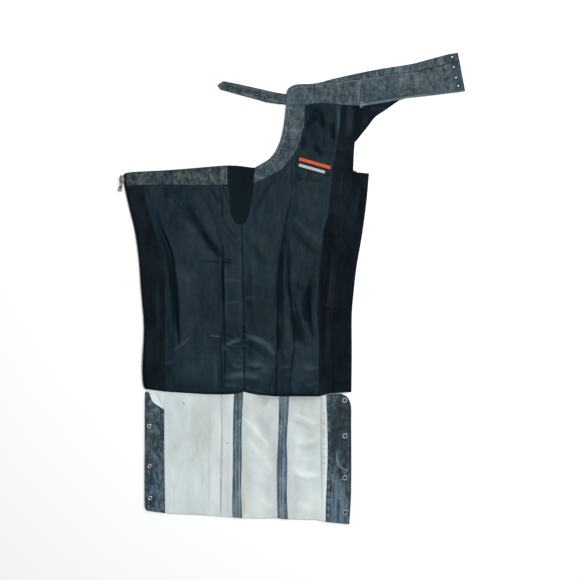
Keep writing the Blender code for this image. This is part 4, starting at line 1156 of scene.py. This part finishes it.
SNAP_SHADES = creases("""
3 .5: -362,-304 -345,-306 -324,-303
3 -.5: -362,-296 -344,-298 -324,-292
4 -.5: -362,-364 -345,-372 -326,-368
5 .5: -340,-416 -330,-440 -328,-474
5 -.5: -352,-408 -338,-394 -324,-400
8 .3: -335,-470 -332,-520 -334,-556
2.2 -.7: -351,-453 -351,-505
2.6 -.6: -362,-270 -361,-400 -361,-550
3 .5: -361,-425 -345,-420 -330,-428
2.2 1.9: 111,-404 113,-424 118,-441 128,-451 143,-455
6 -.9: 118,-452 124,-468 140,-472
4 -.6: 107,-300 108,-400 110,-440
4 -.5: 100,-300 101,-380 100,-466
2.4 .4: 95,-474 94,-530 93,-584
2.4 -.6: 99,-470 98,-530 97,-584
2.4 .4: 103,-466 103,-530 102,-586
2.4 .35: 111,-470 110,-530 109,-586
3 -.9: 117,-524 117,-592
3 .5: 126,-490 127,-540 126,-590
3 -.5: 133,-400 138,-430 134,-448
2.6 .45: 124,-322 134,-324 144,-322
2.6 .45: 124,-336 134,-340 144,-336
2.6 -.5: 124,-329 144,-329
5 -.5: 108,-290 120,-300 124,-318
3 .4: 122,-380 116,-400 120,-416
8 -.3: 126,-470 134,-500 136,-520
2.6 -.7: 146,-292 147,-400 147,-520 143,-588
27 -.85: 128,-225 128,-350 126,-462
26 .62: 114,-452 112,-700
3 .5: 90,-300 90,-360
2.4 -.7: 105,-480 105,-560
""")
TAPE_SHADES = creases("""
1.7 .6: -136,-258 -138,-350 -139,-440 -138,-573
1.7 .6: -128,-256 -130,-350 -131,-440 -129,-574
1.7 -.55: -132,-258 -134,-350 -135,-440 -134,-573
1.7 -.55: -124,-256 -126,-350 -127,-440 -125,-574
1.7 -.5: -140,-258 -143,-350 -143,-440 -143,-572
7 -.6: -137,-300 -131,-328
6 -.5: -137,-258 -134,-276
1.7 .6: -22,-266 -25,-373 -28,-440 -28,-575
1.7 .6: -16,-266 -20,-373 -22,-440 -21,-576
1.7 -.6: -19,-266 -23,-373 -25,-440 -25,-576
1.7 -.6: -11,-266 -15,-373 -16,-440 -14,-577
1.7 -.6: -27,-266 -30,-373 -32,-440 -32,-575
8 -.4: -25,-400 -25,-460
14 .4: -134,-430 -134,-700
14 .36: -23,-440 -23,-700
14 -.3: -134,-230 -134,-330
""")
STRAP_SHADES = creases("""
2.2 .6: -170,514 -131,506 -73,493 -20,482
2.2 .5: -172,501 -125,488 -88,478 -20,464
6 -.7: -163,506 -152,503 -146,502
6.5 -.85: -139,500 -131,497 -124,496
6 -.6: -116,494 -108,492 -102,490
6.5 -.75: -94,489 -85,486 -76,486
6 -.7: -70,479 -62,479 -52,482
5 -.6: -46,477 -40,476 -32,475
3 .7: -180,507 -174,512 -168,512
4 .6: -122,485 -104,482 -92,480
3 .6: -54,471 -46,472 -36,470
""")
# Painted highlights and painted shade across the small puckers of the lining's middle seam, the bare leather's front
# edge and the right snap facing's edge
LINING_SHADES += [Crease([(-127 + 3 * (k % 3), y), (-118, y + 2), (-109 - 4 * (k % 3), y - 1)], 2.0,
                         (0.42, -0.5, 0.25, -0.3)[k % 4], 0.0)
                  for k, y in enumerate((-90, -98, -103, -110, -115, -123, -128, -137, -142, -151, -163, -181))]
BARE_SHADES += [Crease([(90, y), (78, y + rise)], 2.0, -0.55, 0.0)
                for y, rise in ((-290, 2), (-312, -3), (-342, 4), (-358, -3), (-372, 3), (-388, -2), (-404, 4),
                                (-421, -3), (-440, 3), (-462, -3), (-490, 3), (-520, -3))]
SNAP_SHADES += [Crease([(87, y), (96, y - 2)], 2.0, -0.7 if k % 2 else 0.6, 0.0)
                for k, y in enumerate(range(-278, -576, -9))]

SECOND = 1.7  # height of the lower face of what lies on the outer leather
LABEL_AT, LABEL_REACH = plan([(56, 305)])[0], np.array((60.0, 30.0))
FULLEST = 8.0  # height that the lining's folds don't pass
HEM_LOOSE, HEM_SEWN = (-266, -225), (-262, -215)  # heights in the plan over which the hem turns into the rest


def on_lining(flat, rim):
    """Lower face of the lining: sewn down at its edges, full between them, looser along its hem."""
    hem = fade(flat[:, 1], *HEM_LOOSE)
    sewn = np.maximum(fade(rim, 0.0, 26.0), 0.42 * (1 - fade(flat[:, 1], *HEM_SEWN)) * fade(rim, 0.0, 5.0))
    label = np.linalg.norm((flat - LABEL_AT) / LABEL_REACH, axis=1)
    loose = 3.0 * (0.5 + 0.5 * fade(label, 0.75, 1.15))
    folds = (0.55 * crease_height(flat, LINING_FOLDS) + crease_height(flat, LINING_CREASES)) * fade(label, 0.8, 1.2)
    folds += 0.9 * clouds(flat, 36, 3, 3.0) + 0.3 * clouds(flat, 12, 5, 3.5)
    puckers = crease_height(flat, SEAM_PUCKERS) * fade(rim, 0.3, 3.0)
    full = loose * sewn * (0.7 + 0.3 * hem) + FULLEST * np.tanh(folds * fade(rim, 0.0, 14.0) / FULLEST)
    return SECOND + np.maximum(full, 0.0) + np.maximum(puckers, -0.2)


def suede_relief(flat, rim):
    bare = 1 - fade(flat[:, 1], -282, -262)
    folds = crease_height(flat, SUEDE_FOLDS) + crease_height(flat, SUEDE_PUCKERS)
    return bare * (folds + 0.5 * clouds(flat, 40, 11) + 0.22 * clouds(flat, 12, 12)) * fade(rim, 0.0, 4.0)


def marks(flat, rows):
    total = np.zeros(len(flat))
    for place, radius, strength in rows:
        off = (flat - plan([place])[0]) / np.array(radius, float)
        total += strength * np.exp(-np.sum(off * off, axis=1))
    return np.clip(total, 0, 1)


def suede_paint(flat):
    ragged = 0.5 + 0.9 * clouds(flat, 6, 21)
    return {"stain": marks(flat, STAINS) * np.clip(ragged + 0.5, 0, 1), "spot": marks(flat, SPOTS),
            "covered": fade(flat[:, 1], -250, -240)}


def all_covered(flat):
    return {"covered": np.ones(len(flat))}


def wrinkled(rows, size, height, seed, edge=3.0, stretch=1.0):
    """A relief of creases and soft unevenness that dies out at the sewn edge."""
    def relief(flat, rim):
        found = height * clouds(flat, size, seed, stretch) + 0.35 * height * clouds(flat, size / 3, seed + 1)
        if rows:
            found = found + crease_height(flat, rows)
        return np.maximum(found, -0.9) * fade(rim, 0.0, edge)
    return relief


# ---------------------------------------------------------------- the cloth and leather pieces


def pieces(*rows):
    """Shells from rows of node, kind, grid spacing, material, what they rest on, slot, shades, what wrinkled() says
    of the relief or None, and then the share that the lower face takes and the smoothing, where they are given."""
    for node, kind, spacing, material, under, slot_name, shades, folds, *rest in rows:
        shell(node, kind, spacing, [material], under.split(), slot_name, folds and wrinkled(*folds), *rest,
              shades=shades)


def cloth_and_leather():
    grain, grey, blue, black = [SUEDE, OUTER_GRAIN], "grey_leather", "blue_leather", "black_cloth"
    for node in ("back_panel", "inner_panel", "front_panel"):
        shell(node, "leather", 3.0, grain, ["floor"], grey, suede_relief, 0.0, 10, fine_where_bare,
              shades=BARE_SHADES, marks_at=suede_paint)
    for node in ("waistband_outer", "yoke_outer"):
        shell(node, "leather", 6.0, grain, ["floor"], grey, marks_at=all_covered)
    pieces(
        ("hip_panel", "cloth", 2.8, HIP_CLOTH, "floor", black, CLOTH_SHADES, (HIP_FOLDS, 16, 0.5, 31), 0.0),
        ("stretch_gusset", "knit", 2.4, KNIT, "floor", "stretch_knit", (), ((), 20, 0.3, 33), 0.0),
        ("waistband_facing", "leather", 2.3, GREY_FACING, "waistband_outer", grey, FACING_SHADES,
         (FACING_FOLDS, 17, 0.55, 41), 0.25),
        ("yoke_facing", "leather", 2.3, GREY_FACING, "yoke_outer", grey, FACING_SHADES,
         (FACING_FOLDS, 17, 0.55, 43), 0.25),
        ("crotch_facing", "leather", 2.3, GREY_FACING, "front_panel", grey, FACING_SHADES,
         (FACING_FOLDS, 17, 0.55, 45), 0.25),
        ("yoke_turnover", "leather", 2.0, TURNOVER, "yoke_outer", grey, TURNOVER_SHADES,
         (TURNOVER_FOLDS, 12, 0.5, 47, 1.6), 0.2),
        ("thigh_facing", "leather", 2.3, THIGH_LEATHER, "back_panel", grey, FACING_SHADES,
         (FACING_FOLDS, 14, 0.6, 49), 0.25),
        ("snap_facing_left", "leather", 2.2, BLUE_LEATHER, "back_panel", blue, SNAP_SHADES,
         (BLUE_FOLDS, 14, 0.6, 51, 2.0), 0.25),
        ("snap_facing_right", "leather", 2.2, BLUE_LEATHER, "front_panel", blue, SNAP_SHADES,
         (BLUE_FOLDS, 14, 0.6, 51, 2.0), 0.25),
        ("seam_tape_back", "leather", 1.7, PALE_BLUE_LEATHER, "back_panel inner_panel", blue, TAPE_SHADES,
         (TAPE_RIDGES, 16, 0.35, 53, 1.2), 0.0),
        ("seam_tape_front", "leather", 1.7, PALE_BLUE_LEATHER, "inner_panel front_panel", blue, TAPE_SHADES,
         (TAPE_RIDGES, 16, 0.35, 55, 1.2), 0.0),
        ("belt_strap", "leather", 1.8, STRAP_LEATHER, "floor waistband_outer", grey, STRAP_SHADES,
         (STRAP_FOLDS, 12, 0.4, 57, 1.6), 0.0))
    for part in ("back", "inner", "front"):
        shell(f"lining_{part}", "nylon", 2.7, [NYLON], [f"{part}_panel"], "lining", base=on_lining,
              shades=LINING_SHADES)
    pieces(
        ("zip_facing_left", "cloth", 2.5, STRIP, "back_panel", black, CLOTH_SHADES,
         (STRIP_FOLDS, 20, 0.6, 61, 3, 2.0), 0.6),
        ("zip_facing_right", "cloth", 2.5, STRIP, "front_panel", black, CLOTH_SHADES,
         (STRIP_FOLDS, 20, 0.6, 63, 3, 2.0), 0.6),
        ("zip_tape_left", "cloth", 1.6, TAPE_CLOTH, "back_panel floor", "zip_tape", (), None),
        ("zip_tape_right", "cloth", 2.2, TAPE_CLOTH, "front_panel floor", "zip_tape", (), None),
        ("storm_flap", "cloth", 2.4, FLAP_CLOTH, "front_panel zip_tape_right", black, CLOTH_SHADES,
         (FLAP_FOLDS, 22, 0.5, 65, 3, 2.0), 0.5, 20),
        ("label", "cloth", 1.5, LABEL_CLOTH, "lining_front_nylon", "label", (), None),
        ("size_tab", "cloth", 1.5, LABEL_CLOTH, "lining_front_nylon", "label", (), None))


# ---------------------------------------------------------------- stitches


class Rows:
    """Collects stitches, or other small pieces, into one mesh."""

    def __init__(self, name, material, slot_name):
        self.name, self.material, self.slot_name = name, material, slot_name
        self.points, self.faces = [], []

    def add(self, points, faces):
        first = len(self.points)
        self.points += [tuple(p) for p in points]
        self.faces += [tuple(first + i for i in face) for face in faces]

    def finish(self):
        mesh_object(self.name, [tuple(c * MM for c in p) for p in self.points], self.faces, [self.material],
                    self.slot_name)


SIDES = 5  # of a stitch's thread


def stitch(rows, start, end, heights, radius):
    """One stitch from start to end in the plan, pulled into the cloth at both ends."""
    start, end = np.array(start), np.array(end)
    along = end - start
    length = np.linalg.norm(along)
    along = along / length
    side = np.array((-along[1], along[0]))
    z0, zm, z1 = heights
    points = [(*start, z0 - radius * 0.8)]
    for share, z in ((0.22, z0 * 0.6 + zm * 0.4), (0.5, zm), (0.78, z1 * 0.6 + zm * 0.4)):
        place = start + along * length * share
        wide = radius * (1.0 if share == 0.5 else 0.8)
        for k in range(SIDES):
            angle = 2 * math.pi * k / SIDES
            points.append((*(place + side * wide * math.cos(angle)), z + wide * 0.25 + wide * 0.8 * math.sin(angle)))
    points.append((*end, z1 - radius * 0.8))
    after = [(k + 1) % SIDES for k in range(SIDES)]
    last = 1 + 2 * SIDES
    faces = [(0, 1 + after[k], 1 + k) for k in range(SIDES)]
    for a in (1, 1 + SIDES):
        faces += [(a + k, a + after[k], a + SIDES + after[k], a + SIDES + k) for k in range(SIDES)]
    faces += [(last + k, last + after[k], len(points) - 1) for k in range(SIDES)]
    rows.add(points, faces)


def sew(rows, line, host, pitch=3.4, share=0.72, radius=0.34, sink=0.0):
    """A row of stitches along a line, lying on its host."""
    places = walked(line, pitch)
    for start, end in zip(places, places[1:]):
        stop = start + (end - start) * share
        heights = [SURFACES[host](x, y) - sink for x, y in (start, (start + stop) / 2, stop)]
        stitch(rows, start, stop, heights, radius)


def edge_line(node, start, end, distance):
    """The stretch of a node's outline from near start round anticlockwise to near end, moved in."""
    loop = OUTLINES[node]
    a, b = (int(np.argmin(np.linalg.norm(loop - plan([p])[0], axis=1))) for p in (start, end))
    moved = inset(loop, distance)
    return moved[[(a + k) % len(loop) for k in range((b - a) % len(loop) + 1)]]


# Seams: thread, host, then the two ends of a stretch of its outline, a colon and how far in it runs, or else three
# points of a line of its own, a colon and its steps. Where they differ, pitch, share of it, radius and sink follow.
SEAMS = """
pale waistband_facing 165,522 84,515: 1.6 3.2 .8 .42
grey yoke_facing 420,571 304,542: 1.6 3.2 .8 .42
pale yoke_facing 304,542 165,522: 1.6 3.2 .8 .42
pale waistband_facing 84,515 -14,457: 2.2
pale waistband_facing 84,515 -14,457: 8
pale crotch_facing -14,457 -93,302: 2.4
pale crotch_facing -14,457 -93,302: 8.2
grey crotch_facing 33,459 -14,457: 2
grey crotch_facing -95,262 33,459: 2.2
grey waistband_facing -14,457 170,457: 2.2
pale waistband_facing 170,457 165,522: 2.4
pale yoke_facing 165,522 170,457: 2
pale yoke_facing 165,522 170,457: 7.5
pale yoke_facing 170,457 434.5,494: 2.2
grey yoke_facing 434.5,494 420,571: 3
grey yoke_facing 372,494 366,530 360,553: 20
grey yoke_turnover 416,590 84,519: 2
grey thigh_facing -160,308 -414,289: 2.4
grey thigh_facing -411,254 -160,259: 2.2
pale thigh_facing -160,259 -160,308: 2.2
dark stretch_gusset -160,308 -93,302: 2.4 3.4 .72 .34 .05
dark lining_back -126,160 -160,259: 2.4
dark lining_inner -95,262 -126,160: 2.4
dark lining_back -317,-258 -120,-258: 3.6 3 .7 .3
dark lining_inner -120,-258 -40,-270: 3.6 3 .7 .3
dark lining_front -40,-270 69,-270: 3.6 3 .7 .3
dark zip_facing_left -360,-252 -317,-258: 3.6 3 .7 .3
dark zip_facing_right 69,-270 100,-262: 3.6 3 .7 .3
dark storm_flap 100,-262 150,-259: 3.6 3 .7 .3
dark zip_facing_left -317,-258 -372,259: 2
dark zip_facing_left -411,254 -360,-252: 2
dark zip_facing_right 127,459 69,-270: 2
dark zip_facing_right 100,-262 154,291: 2.2
dark zip_facing_right 154,291 177,456: 2.2
dark storm_flap 150,-259 194,288: 2.4
dark storm_flap 194,288 154,291: 2.4
dark storm_flap 194,288 154,291: 6
dark hip_panel 179,459 162,369: -.45 3 1.35 .8 .35
dark hip_panel 162,369 270,471: 2.4
dark hip_panel 162,369 270,471: 6.5
grey snap_facing_right 87,-272 85.5,-583: 2
grey snap_facing_right 87,-272 85.5,-583: 5.6
grey snap_facing_right 104,-290 106,-420 104,-577: 60
grey snap_facing_right 145,-590 122,-263: 3
grey snap_facing_left -316,-561 -357,-259: 2.2
grey snap_facing_left -366,-259 -361,-555: 3
grey seam_tape_back -123,-574.5 -120,-259: 2.2 3 .75 .32
grey seam_tape_back -143,-263 -147,-572: 2.2 3 .75 .32
grey seam_tape_front -8.5,-577 -5.5,-270: 2.2 3 .75 .32
grey seam_tape_front -30.5,-269 -34.5,-574.5: 2.2 3 .75 .32
grey belt_strap -12,486 -170,519: 2.6
grey belt_strap -170,519 -177,498: 2.6
grey belt_strap -177,498 -16,460: 2.6
dark label 99,305 8,330: 1.4 2.4 .7 .22
"""


def all_stitching():
    threads = {name: Rows(f"{name}_stitches", material, slot_name)
               for name, material, slot_name in (("pale", PALE_THREAD, "grey_leather"),
                                                 ("grey", GREY_THREAD, "grey_leather"),
                                                 ("dark", DARK_THREAD, "black_cloth"))}
    for row in SEAMS.strip().split("\n"):
        run, sizes = row.split(":")
        thread_name, host, line = run.split(" ", 2)
        first, *more = map(float, sizes.split())
        line = places_in(line)
        line = edge_line(host, *line, first) if len(line) == 2 else curve(line, int(first))
        sew(threads[thread_name], line, host, *more)
    for rows in threads.values():
        rows.finish()


# ---------------------------------------------------------------- zip, fasteners and small pieces


@contextmanager
def welded(mesh, distance):
    """The mesh open for edits, its double points joined."""
    body = bmesh.new()
    body.from_mesh(mesh)
    bmesh.ops.remove_doubles(body, verts=body.verts, dist=distance)
    yield body
    body.to_mesh(mesh)
    body.free()


def shade_sharp_from(mesh, degrees):
    mesh.shade_smooth()
    mesh.set_sharp_from_angle(angle=math.radians(degrees))


def lathe(node, kind, profile, material, slot_name, steps=40):
    """A round piece about a CAD node's middle, from its closed profile of radius and height."""
    x, y, _, _ = middle_of(node)
    points, faces = [], []
    for step in range(steps):
        angle = 2 * math.pi * step / steps
        points += [((x + r * math.cos(angle)) * MM, (y + r * math.sin(angle)) * MM, z * MM) for r, z in profile]
    count = len(profile)
    for step in range(steps):
        here, there = step * count, (step + 1) % steps * count
        for k in range(count):
            after = (k + 1) % count
            faces.append((here + k, there + k, there + after, here + after))
    made = mesh_object(f"{node}_{kind}", points, faces, [material], slot_name, node)
    with welded(made.data, 1e-6) as body:
        bmesh.ops.recalc_face_normals(body, faces=body.faces)
    shade_sharp_from(made.data, 48)


def middle_of(node):
    """The middle of a node's box in the plan, and its lowest and highest levels."""
    low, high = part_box(node)
    return ((low[0] + high[0]) / 2 / MM, (low[1] + high[1]) / 2 / MM, low[2] / MM, high[2] / MM)


def rounded(points, radius, steps=4):
    """A closed profile with its corners rounded."""
    found = []
    for k, corner in enumerate(points):
        here, before, after = (np.array(p, float) for p in (corner, points[k - 1], points[(k + 1) % len(points)]))
        reach = min(radius, np.linalg.norm(before - here) * 0.45, np.linalg.norm(after - here) * 0.45)
        start, end = (here + (p - here) / np.linalg.norm(p - here) * reach for p in (before, after))
        for t in (step / steps for step in range(steps + 1)):
            found.append(tuple(start * (1 - t) ** 2 + 2 * here * t * (1 - t) + end * t * t))
    return found


ON_AXIS = 0.001  # radius of a profile's ends that close on the axis


def fasteners():
    for side, count, outer, inner in (("left", 3, 5.5, 2.7), ("right", 4, 6.4, 4.6)):
        for number in range(1, count + 1):
            node = f"snap_{side}_{number}"
            z = middle_of(node)[2]
            crown = (outer + inner) / 2
            ring = [(inner, z), (outer, z), (outer - 0.1, z + 0.7), (crown + 0.4, z + 1.3), (crown - 0.4, z + 1.25),
                    (inner, z + 0.5)]
            lathe(node, "ring", rounded(ring, 0.3), BRIGHT_NICKEL, "steel")
            cup = [(ON_AXIS, z), (inner - 0.02, z), (inner - 0.02, z + 0.35), (1.6, z + 0.3), (1.3, z + 0.6),
                   (ON_AXIS, z + 0.7)]
            lathe(node, "cup", rounded(cup, 0.12, 2), BLACKENED, "steel", 28)
    for kind, slot_name in (("open", "steel"), ("blind", "black_metal")):
        for number in range(1, 5):
            node = f"eyelet_{kind}_{number}"
            _, _, low, high = middle_of(node)
            flange = high - 0.7
            profile = [(2.3, low), (2.9, low), (2.9, flange), (4.4, flange), (4.2, flange + 0.42), (3.4, high),
                       (2.7, high - 0.02)]
            lathe(node, "ring", rounded(profile, 0.25, 3), BLACKENED, slot_name, 36)
            if kind == "blind":
                disc = [(ON_AXIS, low + 0.05), (2.28, low + 0.05), (2.28, low + 0.5), (ON_AXIS, low + 0.5)]
                lathe(node, "back", disc, STRAP_LEATHER, "grey_leather", 20)


def bevelled(node, body_name, width):
    """A CAD node's own form with its edges rounded."""
    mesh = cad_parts[node].data.copy()
    mesh.name = f"{node}_metal"
    with welded(mesh, 2e-6) as body:
        bmesh.ops.dissolve_limit(body, angle_limit=math.radians(2), verts=body.verts, edges=body.edges)
        sharp = [edge for edge in body.edges
                 if len(edge.link_faces) == 2 and edge.calc_face_angle() > math.radians(24)]
        bmesh.ops.bevel(body, geom=sharp, offset=width * MM, segments=3, profile=0.6, affect="EDGES",
                        clamp_overlap=True)
    mesh.materials.clear()
    mesh.materials.append(NICKEL)
    shade_sharp_from(mesh, 40)
    placed(mesh, body_name, "steel", node)


ZIP_LINE = [(-422.6, 288.4), (-421.8, 272), (-418, 254), (-413.4, 231), (-407.4, 205), (-393, 145), (-384, 85),
            (-377, -5), (-370, -95), (-374, -215), (-371, -243), (-367, -252)]
FLAP_LINE = [(190, 280), (184, 220), (172.5, 130), (158, 55), (150.5, -5), (145.5, -65), (145, -160), (144, -255)]
SLIDER_FOOT = 261  # height in the plan below which the left coil shows
RIGHT_LEVEL = 1.4  # of the right coil, which lies under the storm flap's edge
COIL_PITCH, COIL_HEIGHT, COIL_SUNK = 2.4, 1.15, 0.45


def coil(name, line, heights, reach):
    """Both arms of each coil of a nylon zip: short rounded blocks across the tape's edge."""
    rows = Rows(name, COIL, "zip_tape")
    places = walked(line, COIL_PITCH)
    for start, end in zip(places, places[1:]):
        along = (end - start) / np.linalg.norm(end - start)
        across = np.array((along[1], -along[0])) * reach
        z = heights(*(start + across * 0.9))
        points = []
        for share, high in ((0.0, 0.55), (0.16, 0.95), (0.72, 1.0), (1.0, 0.7)):
            middle = start + across * (share - 0.42)
            points += [(*(middle + along * way), z - COIL_SUNK + level * COIL_HEIGHT)
                       for way, level in ((-0.7, 0.0), (-0.45, high), (0.45, high), (0.7, 0.0))]
        faces = [(0, 1, 2, 3), (15, 14, 13, 12)]
        for a in (0, 4, 8):
            faces += [(a + i, a + 4 + i, a + 4 + (i + 1) % 4, a + (i + 1) % 4) for i in range(4)]
        rows.add(points, faces)
    rows.finish()


def zips():
    line = curve(ZIP_LINE, 220)
    below = line[line[:, 1] < SLIDER_FOOT]
    coil("zip_coil_left", below + np.array((0.9, 0.0)), SURFACES["zip_tape_left"], -3.4)
    coil("zip_coil_right", curve(FLAP_LINE, 200)[::-1] + np.array((-1.8, 0.0)), lambda x, y: RIGHT_LEVEL, -3.2)
    bevelled("zip_slider", "leg", 0.5)
    bevelled("zip_pull", "pull", 0.28)


BAR_THICK, BAR_SUNK = 0.35, 0.1
LABEL_SLANT = math.radians(-16)


def bar(name, middle, size, material):
    """A thin plain bar woven onto the label."""
    columns, rows = max(2, int(size[0] / 2.5)), max(2, int(size[1] / 1.5))
    cos, sin = math.cos(LABEL_SLANT), math.sin(LABEL_SLANT)
    turn = np.array([[cos, -sin], [sin, cos]])
    points = []
    for layer in (0, 1):
        for j in range(rows + 1):
            for i in range(columns + 1):
                u, v = i / columns - 0.5, j / rows - 0.5
                x, y = middle + turn @ np.array((u * size[0], v * size[1]))
                rim = layer * BAR_THICK * (0.4 if i in (0, columns) or j in (0, rows) else 1.0)
                points.append((x * MM, y * MM, (SURFACES["label"](x, y) - BAR_SUNK + rim) * MM))
    across, layer = columns + 1, (columns + 1) * (rows + 1)
    faces = []
    for a in (j * across + i for j in range(rows) for i in range(columns)):
        faces.append((a + layer, a + 1 + layer, a + 1 + across + layer, a + across + layer))
        faces.append((a + across, a + 1 + across, a + 1, a))
    rim = [i for i in range(columns)] + [j * across + columns for j in range(rows)]
    rim += [rows * across + i for i in range(columns, 0, -1)] + [j * across for j in range(rows, 0, -1)]
    faces += [(a, b, b + layer, a + layer) for a, b in zip(rim, rim[1:] + rim[:1])]
    mesh_object(name, points, faces, [material], "label")


# Seams of the leather's outer face: node, start, end
OUTER_SEAMS = (("back_panel", (-134, -574), (-126, 160)), ("inner_panel", (-126, 160), (-134, -574)),
               ("inner_panel", (-21, -577), (-28, 370)), ("front_panel", (-28, 370), (-21, -577)),
               ("front_panel", (-14, 457), (-28, 370)), ("yoke_outer", (416, 590), (165, 538)),
               ("yoke_outer", (170, 457), (434.5, 494)), ("waistband_outer", (-14, 457), (170, 457)))


def small_things():
    bar("label_orange_bar", plan([(58.5, 312.5)])[0], (82, 8.5), LABEL_ORANGE)
    bar("label_pale_bar", plan([(50.5, 299.5)])[0], (68, 7.5), LABEL_PALE)
    # Loose thread ends at the foot of the yoke's side seam
    ends = Rows("thread_ends", PALE_THREAD, "grey_leather")
    for rows in ("170,458 174,455 178,458 181,462", "171,459 173,453 179,453", "172,460 176,460 183,457",
                 "170,461 174,463 176,468"):
        line = curve(places_in(rows), 8)
        for start, end in zip(line, line[1:]):
            z = max(SURFACES[host](*start) for host in ("waistband_facing", "yoke_facing", "hip_panel"))
            stitch(ends, start, end + (end - start) * 0.3, (z + 0.7, z + 0.75, z + 0.7), 0.42)
    ends.finish()
    under = Rows("outer_face_stitches", GREY_THREAD, "grey_leather")
    for node, start, end in OUTER_SEAMS:
        places = walked(edge_line(node, start, end, 2.6), 3.4)
        for a, b in zip(places, places[1:]):
            stitch(under, a, a + (b - a) * 0.72, (0.12, 0.0, 0.12), 0.3)
    under.finish()


# ---------------------------------------------------------------- floor, light and camera


def stage_and_light():
    bpy.ops.mesh.primitive_plane_add(size=14, location=(0, 0, -0.0012))
    floor = bpy.context.object
    floor.name = "floor"
    t = Tree("pale_floor")
    floor.data.materials.append(t.finish(
        Base_Color=t.mix(t.noise(3, 2, 0.5), (0.97, 0.97, 0.97), (0.985, 0.985, 0.985)), Roughness=0.9,
        Specular_IOR_Level=0.1))

    world = bpy.data.worlds.new("soft_room")
    world.use_nodes = True
    nodes, links = world.node_tree.nodes, world.node_tree.links
    room, backdrop = nodes["Background"], nodes.new("ShaderNodeBackground")
    for node, colour, strength in ((room, (0.95, 0.98, 1.0, 1.0), 0.2), (backdrop, (0.93, 0.94, 0.95, 1.0), 0.9)):
        node.inputs["Color"].default_value = colour
        node.inputs["Strength"].default_value = strength
    seen_directly, either = nodes.new("ShaderNodeLightPath"), nodes.new("ShaderNodeMixShader")
    for source, target in ((seen_directly.outputs["Is Camera Ray"], either.inputs[0]),
                           (room.outputs[0], either.inputs[1]), (backdrop.outputs[0], either.inputs[2]),
                           (either.outputs[0], nodes["World Output"].inputs["Surface"])):
        links.new(source, target)
    bpy.context.scene.world = world

    for name, place, size, power in (("softbox", (0.45, 0.55, 3.9), 2.6, 136), ("key", (2.0, 1.8, 1.7), 0.9, 42)):
        lamp = bpy.data.lights.new(name, "AREA")
        lamp.shape, lamp.size, lamp.energy = "SQUARE", size, power
        lamp.color = (1.0, 1.0, 1.0)
        made = bpy.data.objects.new(name, lamp)
        made.location = place
        made.rotation_euler = (Vector(place) * -1).to_track_quat("-Z", "Y").to_euler()
        bpy.context.scene.collection.objects.link(made)


FOCAL_LENGTH, SENSOR = 85.0, 36.0
PHOTO_MIDDLE, PHOTO_WIDTH = (-0.00405, -0.0038), 1.45  # in metres at the garment
GARMENT_LEVEL = 0.003


def photo_camera():
    """Straight down, at the photograph's scale."""
    lens = bpy.data.cameras.new("photo_camera")
    lens.lens, lens.sensor_width = FOCAL_LENGTH, SENSOR
    lens.clip_end = 30.0
    camera = bpy.data.objects.new("photo_camera", lens)
    camera.location = (*PHOTO_MIDDLE, PHOTO_WIDTH * FOCAL_LENGTH / SENSOR + GARMENT_LEVEL)
    camera.rotation_euler = (0.0, 0.0, 0.0)
    bpy.context.scene.collection.objects.link(camera)
    bpy.context.scene.camera = camera


photo_camera()
stage_and_light()
cloth_and_leather()
all_stitching()
fasteners()
zips()
small_things()

view = bpy.context.scene.view_settings
view.view_transform, view.look, view.exposure, view.gamma = "Standard", "None", 0.0, 1.0
